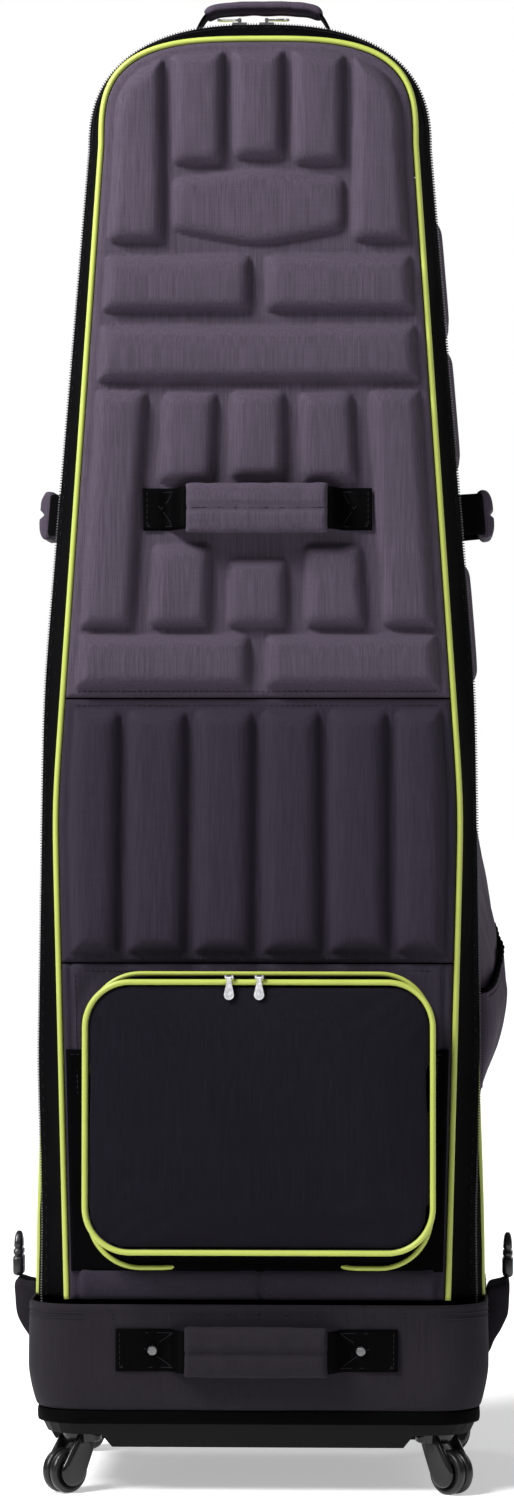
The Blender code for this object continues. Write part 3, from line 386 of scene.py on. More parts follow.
@dataclass(frozen=True)
class Arch:
    """An outline in XZ, as half widths: flanks with a soft waist and a superellipse crown."""

    hem: float
    waist: float
    waist_z: float
    shoulder: float
    rise: float
    roundness: float
    hem_z: float = 0.168
    shoulder_z: float = 1.181
    softness: float = 0.0015

    def half(self, z: np.ndarray) -> np.ndarray:
        """The half width at heights under the shoulders."""
        low = self.hem + (self.waist - self.hem) * np.maximum(z - self.hem_z, 0) / (self.waist_z - self.hem_z)
        rise = (self.shoulder - self.waist) * (z - self.waist_z)
        high = self.waist + rise / (self.shoulder_z - self.waist_z)
        return -self.softness * np.logaddexp(-low / self.softness, -high / self.softness)

    def inset(self, by: float) -> "Arch":
        """The same arch moved inwards."""
        return replace(
            self, hem=self.hem - by, waist=self.waist - by, shoulder=self.shoulder - by, rise=self.rise - by
        )

    def crown(self, count: int) -> np.ndarray:
        """Points over the crown from the left shoulder to the right one."""
        angle = np.linspace(0, np.pi, 241)
        power = 2 / self.roundness
        shoulder = self.half(np.array(self.shoulder_z))
        across = -np.sign(np.cos(angle)) * np.abs(np.cos(angle)) ** power * shoulder
        up = self.shoulder_z + np.abs(np.sin(angle)) ** power * self.rise
        return evenly(np.column_stack((across, up)), count)

    def flank(self, low: float, high: float, count: int) -> np.ndarray:
        """Points up the left flank."""
        z = np.linspace(low, high, count)
        return np.column_stack((-self.half(z), z))

    def outline(self, low: float, count: int) -> np.ndarray:
        """Points from the left foot over the crown to the right foot."""
        left = self.flank(low, self.shoulder_z, 240)
        right = left[::-1] * (-1, 1)
        return evenly(np.vstack((left[:-1], self.crown(241), right[1:])), count)


SHELL = Arch(0.195, 0.1885, 0.700, 0.149, 0.109, 2.5)
LID_FACE = Arch(0.166, 0.1775, 0.600, 0.138, 0.093, 3.2)


@dataclass(frozen=True)
class CaseShape:
    """The sizes that the sub-assemblies share."""

    front: float = -0.143
    lean: float = 0.030
    hem_z: float = 0.168
    skirt_z: float = 0.1488
    lid_bottom_z: float = 0.1715
    shoulder_z: float = 1.181
    rib_seam_z: float = 0.695
    pocket_seam_z: float = 0.464
    back: float = 0.1665
    back_radius: float = 0.035
    zip_depth: float = 0.046
    chain_width: float = 0.0055
    rear_gusset_depth: float = 0.083
    piping_depth: float = 0.005
    piping_radius: float = 0.0025
    middle_y: float = 0.015
    gap: float = 0.0004
    drape_z: tuple[float, float] = (0.215, 0.400)

    def drape(self, z: np.ndarray, low: float, high: float) -> np.ndarray:
        """A bulge that goes from one value near the hem to another further up."""
        share = np.clip((z - self.drape_z[0]) / (self.drape_z[1] - self.drape_z[0]), 0, 1)
        return low + (high - low) * share * share * (3 - 2 * share)

    def front_y(self, z: np.ndarray | float) -> np.ndarray | float:
        """The front face at a height."""
        return self.front + self.lean * (z - self.hem_z)

    def at(self, xz: np.ndarray, depth: np.ndarray | float = 0.0) -> np.ndarray:
        """XZ points placed at a depth behind the front face."""
        return np.stack((xz[..., 0], self.front_y(xz[..., 1]) + depth, xz[..., 1]), axis=-1)


SHAPE = CaseShape()


# Mesh tools


def evenly(points: np.ndarray, count: int) -> np.ndarray:
    """Spaces points evenly along a line.

    Args:
        points: The line's points, one row each.
        count: How many to return.

    Returns:
        The new points.
    """
    run = np.concatenate(([0.0], np.cumsum(np.linalg.norm(np.diff(points, axis=0), axis=1))))
    places = np.linspace(0, run[-1], count)
    return np.column_stack([np.interp(places, run, points[:, k]) for k in range(points.shape[1])])


def smooth_path(points: Sequence[Sequence[float]], count: int) -> np.ndarray:
    """A Catmull-Rom curve through points, evenly spaced.

    Args:
        points: The curve's own points.
        count: How many to return.

    Returns:
        The new points.
    """
    p = np.array(points, float)
    p = np.vstack((2 * p[0] - p[1], p, 2 * p[-1] - p[-2]))
    t = np.linspace(0, 1, 16, endpoint=False)[:, None]
    runs = []
    for a, b, c, d in zip(p, p[1:], p[2:], p[3:]):
        square, cube = 2 * a - 5 * b + 4 * c - d, 3 * b - a - 3 * c + d
        runs.append(0.5 * (2 * b + (c - a) * t + square * t**2 + cube * t**3))
    return evenly(np.vstack((*runs, p[-2:-1])), count)


def coons(bottom: np.ndarray, top: np.ndarray, left: np.ndarray, right: np.ndarray) -> np.ndarray:
    """A grid between four edges that share their corners.

    Args:
        bottom: Its first row, left to right.
        top: Its last row, left to right.
        left: Its first column, bottom to top.
        right: Its last column, bottom to top.

    Returns:
        Points as (rows, columns, dimensions).
    """
    u = np.linspace(0, 1, len(bottom))[None, :, None]
    v = np.linspace(0, 1, len(left))[:, None, None]
    ruled = (1 - v) * bottom[None] + v * top[None] + (1 - u) * left[:, None] + u * right[:, None]
    low = (1 - u) * bottom[0] + u * bottom[-1]
    high = (1 - u) * top[0] + u * top[-1]
    return ruled - (1 - v) * low - v * high


def normals(grid: np.ndarray, outward: Sequence[float], ring: bool = False) -> np.ndarray:
    """Unit normals of a grid.

    Args:
        grid: Points as (rows, columns, 3).
        outward: A direction, or a point if it has a fourth number, that tells which side is out.
        ring: Whether each row closes on itself.

    Returns:
        Normals as (rows, columns, 3).
    """
    if ring:
        wide = np.concatenate((grid[:, -1:], grid, grid[:, :1]), axis=1)
        along = np.gradient(wide, axis=1)[:, 1:-1]
    else:
        along = np.gradient(grid, axis=1)
    n = np.cross(along, np.gradient(grid, axis=0))
    n /= np.maximum(np.linalg.norm(n, axis=-1, keepdims=True), 1e-12)
    from_point = len(outward) == 4
    away = grid - np.array(outward[:3]) if from_point else np.broadcast_to(np.array(outward), grid.shape)
    return n * (1.0 if (n * away).sum() > 0 else -1.0)


def ripple(points: np.ndarray, size: tuple[float, float, float], seed: int) -> np.ndarray:
    """Smooth noise between about -1 and 1.

    Args:
        points: Points as (..., 3).
        size: The noise's scale on each axis, in metres.
        seed: Which noise.

    Returns:
        A value for each point.
    """
    shifted = points.reshape(-1, 3) / np.array(size) + seed * 17.31
    values = np.array([noise.noise(p) for p in shifted.tolist()])
    return values.reshape(points.shape[:-1]) * 1.6


def mesh_of(name: str, verts: np.ndarray, faces: list[tuple[int, ...]]) -> bpy.types.Mesh:
    """A smooth-shaded mesh with its faces pointing out.

    Args:
        name: The mesh's name.
        verts: Its vertices.
        faces: Its faces.

    Returns:
        The mesh.
    """
    mesh = bpy.data.meshes.new(name)
    mesh.from_pydata(np.asarray(verts, float).reshape(-1, 3).tolist(), [], faces)
    bm = bmesh.new()
    bm.from_mesh(mesh)
    bmesh.ops.recalc_face_normals(bm, faces=bm.faces)
    bm.to_mesh(mesh)
    bm.free()
    mesh.shade_smooth()
    return mesh


def grid_faces(rows: int, cols: int, start: int, ring: bool) -> list[tuple[int, ...]]:
    """The quads of a grid.

    Args:
        rows: How many rows of points.
        cols: How many points a row.
        start: The first point's index.
        ring: Whether each row closes on itself.

    Returns:
        The faces.
    """
    faces = []
    for i in range(rows - 1):
        for j in range(cols if ring else cols - 1):
            k = (j + 1) % cols
            a, b = start + i * cols, start + (i + 1) * cols
            faces.append((a + j, a + k, b + k, b + j))
    return faces


def solid(name: str, outer: np.ndarray, inner: np.ndarray, ring: bool = False) -> bpy.types.Mesh:
    """A closed solid between two matching grids.

    Args:
        name: The mesh's name.
        outer: Outer points as (rows, columns, 3).
        inner: Inner points, as many.
        ring: Whether each row closes on itself.

    Returns:
        The mesh.
    """
    rows, cols = outer.shape[:2]
    count = rows * cols
    faces = grid_faces(rows, cols, 0, ring)
    faces += [tuple(reversed(face)) for face in grid_faces(rows, cols, count, ring)]
    for row in (0, rows - 1):
        for j in range(cols if ring else cols - 1):
            a, b = row * cols + j, row * cols + (j + 1) % cols
            faces.append((a, b, b + count, a + count))
    if not ring:
        for col in (0, cols - 1):
            for i in range(rows - 1):
                a, b = i * cols + col, (i + 1) * cols + col
                faces.append((a, b, b + count, a + count))
    return mesh_of(name, np.concatenate((outer.reshape(-1, 3), inner.reshape(-1, 3))), faces)


def tube(name: str, rings: np.ndarray) -> bpy.types.Mesh:
    """A closed solid through rings of points, capped at its ends.

    Args:
        name: The mesh's name.
        rings: Points as (rings, points, 3).

    Returns:
        The mesh.
    """
    rows, cols = rings.shape[:2]
    faces = grid_faces(rows, cols, 0, True)
    faces.append(tuple(range(cols)))
    faces.append(tuple(range((rows - 1) * cols, rows * cols)))
    return mesh_of(name, rings, faces)


def turned(name: str, profile: Sequence[tuple[float, float]], steps: int, place: Matrix) -> bpy.types.Mesh:
    """A solid turned about its own Z axis.

    Args:
        name: The mesh's name.
        profile: (radius, height) points round the section, closed on itself.
        steps: How many steps a turn.
        place: Where its axis goes.

    Returns:
        The mesh.
    """
    rings = []
    for angle in np.linspace(0, 2 * np.pi, steps, endpoint=False):
        rings.append([(r * math.cos(angle), r * math.sin(angle), h) for r, h in profile])
    points = np.array(rings)
    cols = len(profile)
    faces = grid_faces(steps, cols, 0, True)
    last = (steps - 1) * cols
    for j in range(cols):
        k = (j + 1) % cols
        faces.append((last + j, last + k, k, j))
    mesh = mesh_of(name, points, faces)
    bm = bmesh.new()
    bm.from_mesh(mesh)
    bmesh.ops.remove_doubles(bm, verts=bm.verts, dist=1e-6)
    bmesh.ops.recalc_face_normals(bm, faces=bm.faces)
    bm.to_mesh(mesh)
    bm.free()
    mesh.transform(place)
    return mesh


def merged(name: str, meshes: Iterable[bpy.types.Mesh]) -> bpy.types.Mesh:
    """One mesh of several.

    Args:
        name: The new mesh's name.
        meshes: The meshes.

    Returns:
        The mesh.
    """
    bm = bmesh.new()
    for mesh in meshes:
        bm.from_mesh(mesh)
    made = bpy.data.meshes.new(name)
    bm.to_mesh(made)
    bm.free()
    made.shade_smooth()
    return made


def frames_along(path: np.ndarray, up: np.ndarray) -> tuple[np.ndarray, np.ndarray, np.ndarray]:
    """The directions along a path.

    Args:
        path: Its points.
        up: Which way its face looks, as one vector or one for each point.

    Returns:
        Unit vectors along it, off its face and across it.
    """
    along = np.gradient(path, axis=0)
    along /= np.linalg.norm(along, axis=1, keepdims=True)
    off = np.broadcast_to(up, path.shape)
    off = off - along * (off * along).sum(axis=1, keepdims=True)
    off = off / np.maximum(np.linalg.norm(off, axis=1, keepdims=True), 1e-9)
    return along, off, np.cross(along, off)


@dataclass(frozen=True)
class Stitching:
    """Rows of thread stitches laid on a surface."""

    length: float = 0.0034
    pause: float = 0.0014
    radius: float = 0.00034

    def mesh(self, name: str, lines: Iterable[tuple[np.ndarray, np.ndarray]]) -> bpy.types.Mesh:
        """Builds the stitches.

        Args:
            name: The mesh's name.
            lines: Pairs of a path and the direction off its surface, one vector or one a point.

        Returns:
            The mesh.
        """
        profile = ((0.0, 0.35, -0.6), (0.18, 1.0, 0.3), (0.82, 1.0, 0.3), (1.0, 0.35, -0.6))
        verts: list[np.ndarray] = []
        faces: list[tuple[int, ...]] = []
        for path, up in lines:
            span = np.linalg.norm(np.diff(path, axis=0), axis=1).sum()
            count = max(int(span / (self.length + self.pause)), 2)
            both = np.hstack((path, np.broadcast_to(up, path.shape)))
            spaced = evenly(both, count + 1)[:-1]
            along, off, across = frames_along(spaced[:, :3], spaced[:, 3:])
            for p, t, n, s in zip(spaced[:, :3], along, off, across):
                start = len(verts) * 4
                for share, swell, lift in profile:
                    centre = p + t * (share * self.length) + n * (lift * self.radius)
                    r = swell * self.radius
                    verts.append(np.array((centre + n * r, centre + s * r, centre - n * r, centre - s * r)))
                faces += grid_faces(4, 4, start, True)
                faces += [tuple(range(start, start + 4)), tuple(range(start + 12, start + 16))]
        return mesh_of(name, np.array(verts), faces)


STITCHING = Stitching()


def show(
    mesh: bpy.types.Mesh,
    name: str,
    finish: Finish,
    body: str,
    nodes: Sequence[str] = (),
) -> bpy.types.Object:
    """Places a piece on its body.

    Args:
        mesh: Its mesh, in the row frame.
        name: Its name.
        finish: What it is made of.
        body: The body that it rides on.
        nodes: The CAD nodes that it stands for.

    Returns:
        The object.
    """
    obj = bpy.data.objects.new(name, mesh)
    mesh.materials.clear()
    mesh.materials.append(WARDROBE.of(finish))
    bpy.context.scene.collection.objects.link(obj)
    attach(obj, body)
    if nodes:
        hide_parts(*nodes)
    LOG.info("%s rides on %s: %d faces", name, body, len(mesh.polygons))
    return obj


def dress(node: str, finish: Finish, edge: float = 0.0) -> None:
    """Gives a CAD node its finish and softens its edges.

    Args:
        node: The node's name.
        finish: What it is made of.
        edge: The width of its rounded edges.
    """
    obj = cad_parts[node]
    obj.data.materials.clear()
    obj.data.materials.append(WARDROBE.of(finish))
    if edge:
        weld = obj.modifiers.new("weld", "WELD")
        weld.merge_threshold = 1e-5
        rounding = obj.modifiers.new("edges", "BEVEL")
        rounding.width = edge
        rounding.segments = 3
        rounding.limit_method = "ANGLE"
        rounding.angle_limit = math.radians(35)
        rounding.harden_normals = True
    LOG.info("%s keeps its CAD shape", node)


# Stuffed fabric


@dataclass(frozen=True)
class Stuffing:
    """Swells a closed form as stuffed fabric does, by a cloth simulation with pressure inside."""

    voxel: float = 0.004
    pressure: float = 4.0
    frames: int = 20
    cap: float = 0.005

    def swell(self, mesh: bpy.types.Mesh, held: Callable[[np.ndarray], np.ndarray]) -> bpy.types.Mesh:
        """Remeshes and swells a form.

        Args:
            mesh: The form's mesh.
            held: Gives 1 for points that stay and 0 for points that swell.

        Returns:
            The swollen mesh, with one subdivision.
        """
        form = bpy.data.objects.new("stuffing", mesh)
        bpy.context.scene.collection.objects.link(form)
        remesh = form.modifiers.new("remesh", "REMESH")
        remesh.mode = "VOXEL"
        remesh.voxel_size = self.voxel
        form.data = self.evaluated(form)
        form.modifiers.clear()
        start = np.array([v.co for v in form.data.vertices])
        self.inflate(form, held(start))
        moved = np.array([v.co for v in self.evaluated(form).vertices]) - start
        far = np.maximum(np.linalg.norm(moved, axis=1, keepdims=True), 1e-9)
        start = start + moved / far * np.tanh(far / self.cap) * self.cap
        form.modifiers.clear()
        form.data.vertices.foreach_set("co", start.ravel())
        bpy.context.scene.frame_set(1)
        relax = form.modifiers.new("relax", "CORRECTIVE_SMOOTH")
        relax.use_only_smooth = True
        relax.factor = 0.5
        relax.iterations = 3
        form.modifiers.new("fine", "SUBSURF").levels = 1
        made = self.evaluated(form)
        bpy.data.objects.remove(form)
        made.shade_smooth()
        return made

    def evaluated(self, obj: bpy.types.Object) -> bpy.types.Mesh:
        """A new mesh with the object's modifiers applied."""
        graph = bpy.context.evaluated_depsgraph_get()
        return bpy.data.meshes.new_from_object(obj.evaluated_get(graph))

    def inflate(self, form: bpy.types.Object, held: np.ndarray) -> None:
        """Runs the simulation.

        Args:
            form: The object that swells.
            held: How firmly each of its points is held.
        """
        pins = form.vertex_groups.new(name="held")
        for index in np.flatnonzero(held > 0.5).tolist():
            pins.add([index], 1.0, "REPLACE")
        cloth = form.modifiers.new("cloth", "CLOTH")
        cloth.settings.use_pressure = True
        cloth.settings.uniform_pressure_force = self.pressure
        cloth.settings.mass = 0.3
        cloth.settings.quality = 5
        cloth.settings.effector_weights.gravity = 0.0
        cloth.settings.vertex_group_mass = pins.name
        cloth.collision_settings.use_collision = False
        cloth.point_cache.frame_start = 1
        cloth.point_cache.frame_end = self.frames
        for frame_number in range(1, self.frames + 1):
            bpy.context.scene.frame_set(frame_number)


# Padded faces


@dataclass(frozen=True)
class Pad:
    """A raised pad in a moulded panel: its corners, its height and the width of its round shoulder."""

    corners: tuple[tuple[float, float], ...]
    height: float = 0.0116
    shoulder: float = 0.0120
    corner_softness: float = 0.0030
    overhang: float = 0.0018

    def inside(self, points: np.ndarray) -> np.ndarray:
        """How far points are inside the pad's edge, with its corners rounded."""
        ring = np.array(self.corners)
        turn = np.sign(np.sum(ring[:, 0] * np.roll(ring[:, 1], -1) - np.roll(ring[:, 0], -1) * ring[:, 1]))
        total = np.zeros(points.shape[:-1])
        for a, b in zip(ring, np.roll(ring, -1, axis=0)):
            edge = (b - a) / np.linalg.norm(b - a)
            inward = np.array((-edge[1], edge[0])) * turn
            total += np.exp(-((points - a) @ inward) / self.corner_softness)
        return -self.corner_softness * np.log(total)

    def lift(self, points: np.ndarray, room: np.ndarray) -> np.ndarray:
        """The pad's height at points.

        Args:
            points: Points in the panel's plane.
            room: How far each is from where the pad has to end.

        Returns:
            The heights.
        """
        inside = np.minimum(self.inside(points) + self.overhang, room)
        rise = np.clip(inside / self.shoulder, 0, 1)
        crowned = 1 + 0.10 * np.clip(inside / 0.022, 0, 1)
        return self.height * (1 - (1 - rise) ** 2) ** 0.62 * crowned


def upright_pad(
    bottom: float, top: float, low: tuple[float, float], high: tuple[float, float], **sizes: float
) -> Pad:
    """A pad with level ends.

    Args:
        bottom: Its lower end.
        top: Its upper end.
        low: Its left and right edges at its lower end.
        high: Its left and right edges at its upper end.
        **sizes: Other sizes of the pad.

    Returns:
        The pad.
    """
    return Pad(((low[0], bottom), (low[1], bottom), (high[1], top), (high[0], top)), **sizes)


def mirrored(pads: Iterable[Pad]) -> list[Pad]:
    """Pads and their mirror images across the middle."""
    made = []
    for pad in pads:
        made.append(pad)
        made.append(replace(pad, corners=tuple((-x, z) for x, z in pad.corners)))
    return made


@dataclass
class FacePanel:
    """A slice of the lid's face with its moulded pads."""

    name: str
    low: float
    high: float | None
    finish: Finish
    pads: list[Pad] = field(default_factory=list)
    inset: float = 0.0030
    wall: float = 0.011
    spacing: float = 0.0021
    edge_width: float = 0.010
    edge_drop: float = 0.0035
    edge_room: float = 0.0085
    waviness: float = 0.0004

    def grid(self) -> np.ndarray:
        """The panel's points in XZ."""
        face = LID_FACE.inset(self.inset)
        if self.high is None:
            left_side = face.flank(self.low, SHAPE.shoulder_z, 240)
            crown = face.crown(241)
            corner = 34
            left = np.vstack((left_side[:-1], crown[: corner + 1]))
            top = crown[corner : len(crown) - corner]
        else:
            left = face.flank(self.low, self.high, 200)
            top = np.array((left[-1], left[-1] * (-1, 1)))
        rows = int(np.linalg.norm(np.diff(left, axis=0), axis=1).sum() / self.spacing)
        cols = int(2 * abs(left[:, 0]).max() / self.spacing)
        left = evenly(left, rows)
        bottom = evenly(np.array((left[0], left[0] * (-1, 1))), cols)
        return coons(bottom, evenly(top, cols), left, left * (-1, 1))

    def room(self, xz: np.ndarray) -> np.ndarray:
        """How far each point is from the panel's own edge."""
        border = np.vstack((xz[0], xz[-1], xz[:, 0], xz[:, -1]))
        tree = KDTree(len(border))
        for i, (x, z) in enumerate(border.tolist()):
            tree.insert((x, z, 0), i)
        tree.balance()
        found = [tree.find((x, z, 0))[2] for x, z in xz.reshape(-1, 2).tolist()]
        return np.array(found).reshape(xz.shape[:2])

    def height(self, xz: np.ndarray, room: np.ndarray) -> np.ndarray:
        """The relief at each point, in front of the lid's face."""
        total = np.zeros(xz.shape[:2])
        for pad in self.pads:
            total = np.maximum(total, pad.lift(xz, room - self.edge_room))
        share = np.clip(1 - room / self.edge_width, 0, 1)
        total -= self.edge_drop * (1 - np.sqrt(1 - share**2))
        placed = SHAPE.at(xz)
        return total + self.waviness * (ripple(placed, (0.05, 0.05, 0.09), 3) - 1)

    def build(self) -> None:
        """Makes the panel and puts it on the lid."""
        xz = self.grid()
        height = self.height(xz, self.room(xz))
        mesh = solid(self.name, SHAPE.at(xz, -height), SHAPE.at(xz, self.wall))
        show(mesh, f"{self.name}_cloth", self.finish, "lid", [self.name])


@dataclass
class LowerPanel(FacePanel):
    """The plain panel round the pocket, with a seamed strip down each side and a tucked hem."""

    strip: float = 0.0105
    hem_top: float = 0.1975
    middle_x: float = 0.003
    seam_depth: float = 0.0024
    seam_width: float = 0.0020
    gather: float = 0.0010
    gather_at: float = 0.006
    gather_width: float = 0.005
    hem_swell: float = 0.0042
    hem_fold: float = 0.0030
    fold_width: float = 0.0024
    crease: float = 0.0013
    crease_from: float = 0.395
    crease_rise: float = 0.03

    def height(self, xz: np.ndarray, room: np.ndarray) -> np.ndarray:
        """The relief at each point: the seams, the soft strips between them and a few creases."""
        x, z = xz[..., 0], xz[..., 1]
        placed = SHAPE.at(xz)
        inside = LID_FACE.half(z) - self.strip - np.abs(x)
        total = super().height(xz, room)
        total -= self.seam_depth * np.exp(-((inside / self.seam_width) ** 2))
        gathers = 1 + 0.5 * ripple(placed, (0.02, 0.02, 0.03), 40)
        beside = (inside - self.gather_at) / self.gather_width
        total += self.gather * np.exp(-(beside**2)) * gathers
        share = np.clip((self.hem_top - z) / (self.hem_top - self.low), 0, 1)
        total += self.hem_swell * np.sin(share**0.6 * np.pi) * np.clip(inside / 0.004, 0, 1)
        fold = np.exp(-(((x - self.middle_x) / self.fold_width) ** 2))
        total -= self.hem_fold * fold * (z < self.hem_top)
        slanted = placed + np.stack((0.6 * (z - 0.44) * np.sign(x), 0 * z, 0 * z), axis=-1)
        top = np.clip((z - self.crease_from) / self.crease_rise, 0, 1) * np.clip(inside / 0.01, 0, 1)
        return total + self.crease * top * ripple(slanted, (0.018, 0.03, 0.06), 41)


@dataclass
class LidFace:
    """The lid's three face panels with the seams and pads that shape them."""

    seam: float = 0.0007

    def front_pads(self) -> list[Pad]:
        """The pads above the rib seam, from the crown down."""
        crown_row = mirrored(
            (
                upright_pad(1.096, 1.2565, (-0.1310, -0.0838), (-0.1270, -0.0850)),
                upright_pad(1.1640, 1.2630, (-0.0740, -0.0313), (-0.0740, -0.0313)),
            )
        )
        crown_row.append(upright_pad(1.1690, 1.2640, (-0.0209, 0.0209), (-0.0209, 0.0209)))
        shield = Pad(
            (
                (-0.0745, 1.1060),
                (0.0, 1.0915),
                (0.0745, 1.1060),
                (0.0745, 1.1490),
                (0.0, 1.1590),
                (-0.0745, 1.1490),
            ),
            height=0.0082,
        )
        bars = mirrored((upright_pad(1.0350, 1.0815, (-0.1360, -0.0078), (-0.1330, -0.0078)),))
        bars.append(upright_pad(0.9740, 1.0200, (-0.1430, 0.1430), (-0.1400, 0.1400)))
        hand_row = mirrored(
            (
                upright_pad(0.7585, 0.9630, (-0.1570, -0.1108), (-0.1425, -0.0982)),
                upright_pad(0.8850, 0.9615, (-0.0860, -0.0400), (-0.0815, -0.0370)),
                upright_pad(0.7585, 0.8280, (-0.0935, -0.0430), (-0.0895, -0.0415)),
            )
        )
        hand_row.append(upright_pad(0.8880, 0.9630, (-0.0235, 0.0235), (-0.0226, 0.0226)))
        hand_row.append(upright_pad(0.7585, 0.8150, (-0.0248, 0.0248), (-0.0246, 0.0246)))
        low_bars = mirrored((upright_pad(0.7050, 0.7495, (-0.1650, -0.0083), (-0.1625, -0.0083)),))
        return crown_row + [shield] + bars + hand_row + low_bars

    def rib_pads(self) -> list[Pad]:
        """The six tall ribs under the seam."""
        pads = []
        for centre, width in ((0.0290, 0.0475), (0.0875, 0.0475), (0.1435, 0.0430)):
            pads.append(
                upright_pad(
                    0.4735,
                    0.6830,
                    (centre - width / 2 + 0.001, centre + width / 2 + 0.001),
                    (centre - width / 2, centre + width / 2),
                    height=0.0120,
                    shoulder=0.0150,
                )
            )
        return mirrored(pads)

    def build(self) -> None:
        """Makes the three panels and the stitching at their seams."""
        front = FacePanel("front_panel", SHAPE.rib_seam_z + self.seam, None, SHELL_CLOTH, self.front_pads())
        # The rib panel wears a darker copy of the shell cloth: painted shade.
        ribs = FacePanel(
            "rib_panel",
            SHAPE.pocket_seam_z + self.seam,
            SHAPE.rib_seam_z - self.seam,
            RIB_CLOTH_PAINTED_SHADE,
            self.rib_pads(),
        )
        # The lower panel wears a darker copy of the shell cloth: painted shade.
        lower = LowerPanel(
            "lower_panel",
            SHAPE.lid_bottom_z,
            SHAPE.pocket_seam_z - self.seam,
            LOWER_CLOTH_PAINTED_SHADE,
            waviness=0.0007,
            spacing=0.0021,
        )
        for panel in (front, ribs, lower):
            panel.build()
        self.build_tapes(front.wall)
        self.stitches()

    def build_tapes(self, behind: float) -> None:
        """The tapes that back the seams between the panels."""
        across = np.array((0.0, 0.0, 1.0))
        for name, z in (("rib", SHAPE.rib_seam_z), ("pocket", SHAPE.pocket_seam_z)):
            half = float(LID_FACE.half(np.array(z))) - 0.002
            xz = np.column_stack((np.linspace(-half, half, 40), np.full(40, z)))
            tape = ribbon(f"{name}_seam_tape", SHAPE.at(xz, behind - 0.003), across, 0.016, 0.0012)
            show(tape, f"{name}_seam_tape", GUSSET_CLOTH, "lid")

    def stitches(self) -> None:
        """The thread beside each seam."""
        lines = []
        for z in (
            SHAPE.rib_seam_z + 0.0060,
            SHAPE.rib_seam_z - 0.0060,
            SHAPE.pocket_seam_z + 0.0045,
            SHAPE.pocket_seam_z - 0.0060,
        ):
            half = float(LID_FACE.half(np.array(z))) - 0.013
            xz = np.column_stack((np.linspace(-half, half, 60), np.full(60, z)))
            lines.append((SHAPE.at(xz, 0.0007), np.array((0.0, -1.0, 0.0))))
        z = np.linspace(SHAPE.lid_bottom_z + 0.004, SHAPE.pocket_seam_z - 0.008, 120)
        for side in (-1, 1):
            xz = np.column_stack((side * (LID_FACE.half(z) - 0.0145), z))
            lines.append((SHAPE.at(xz, -0.0007), np.array((0.0, -1.0, 0.0))))
        show(STITCHING.mesh("seam_stitches", lines), "seam_stitches", THREAD, "lid")


# Edges, zips and gussets


def cord_mesh(
    name: str, path: np.ndarray, radius: float, up: np.ndarray, closed: bool = False
) -> bpy.types.Mesh:
    """A round cord along a path.

    Args:
        name: The mesh's name.
        path: Its points.
        radius: Its radius.
        up: A direction off the path, one vector or one a point.
        closed: Whether it ends where it starts.

    Returns:
        The mesh.
    """
    _, off, across = frames_along(path, up)
    angle = np.linspace(0, 2 * np.pi, 12, endpoint=False)
    rings = path[:, None] + radius * (
        np.cos(angle)[None, :, None] * off[:, None] + np.sin(angle)[None, :, None] * across[:, None]
    )
    if not closed:
        return tube(name, rings)
    rings = rings[:-1]
    rows, cols = rings.shape[:2]
    faces = grid_faces(rows, cols, 0, True)
    last = (rows - 1) * cols
    for j in range(cols):
        k = (j + 1) % cols
        faces.append((last + j, last + k, k, j))
    return mesh_of(name, rings, faces)


@dataclass(frozen=True)
class ZipHalf:
    """One half of a zip: a strip of tape and the row of teeth on its edge."""

    pitch: float = 0.0024
    tooth: tuple[float, float, float] = (0.00105, 0.0036, 0.0018)
    reach: float = 0.0005
    tape: float = 0.0011

    def build(
        self,
        name: str,
        node: str,
        body: str,
        path: np.ndarray,
        off: np.ndarray,
        to_seam: np.ndarray,
        width: float,
        start: float,
    ) -> None:
        """Makes the tape and its teeth.

        Args:
            name: What the pieces' names start with.
            node: The CAD node that the tape stands for.
            body: The body that they ride on.
            path: The line where the two halves meet.
            off: The direction off the case at each point.
            to_seam: The direction from the tape to that line at each point.
            width: The tape's width.
            start: Where the first tooth is, as a share of the pitch.
        """
        rows = []
        for share in np.linspace(0, 1, 5):
            back = path - to_seam * (0.0006 + share * width)
            rows.append(back)
        outer = np.array(rows)
        inner = outer - off[None] * self.tape
        show(solid(f"{name}_tape", outer, inner), f"{name}_tape", GUSSET_CLOTH, body, [node] if node else ())
        both = np.hstack((path, off, to_seam))
        span = np.linalg.norm(np.diff(path, axis=0), axis=1).sum()
        count = int(span / self.pitch)
        run = np.linspace(0, 1, len(both))
        places = (np.arange(count) + start) / count
        spaced = np.column_stack([np.interp(places, run, both[:, k]) for k in range(both.shape[1])])
        along = np.gradient(spaced[:, :3], axis=0)
        along /= np.linalg.norm(along, axis=1, keepdims=True)
        long, wide, high = self.tooth
        corners = []
        for lift, spread in ((-0.0004, 1.0), (high * 0.6, 1.0), (high, 0.55)):
            for a, b in ((-1, -1), (1, -1), (1, 1), (-1, 1)):
                centre = spaced[:, 6:9] * (self.reach - wide / 2)
                corner = centre + along * (a * long / 2 * spread)
                corner = corner + spaced[:, 6:9] * (b * wide / 2 * (0.5 + spread / 2))
                corners.append(spaced[:, :3] + corner + spaced[:, 3:6] * lift)
        verts = np.stack(corners, axis=1)
        faces = []
        for k in range(count):
            faces += grid_faces(3, 4, k * 12, True)
            faces.append((k * 12, k * 12 + 1, k * 12 + 2, k * 12 + 3))
            faces.append((k * 12 + 8, k * 12 + 9, k * 12 + 10, k * 12 + 11))
        show(mesh_of(f"{name}_teeth", verts, faces), f"{name}_teeth", ZIP_TEETH, body)


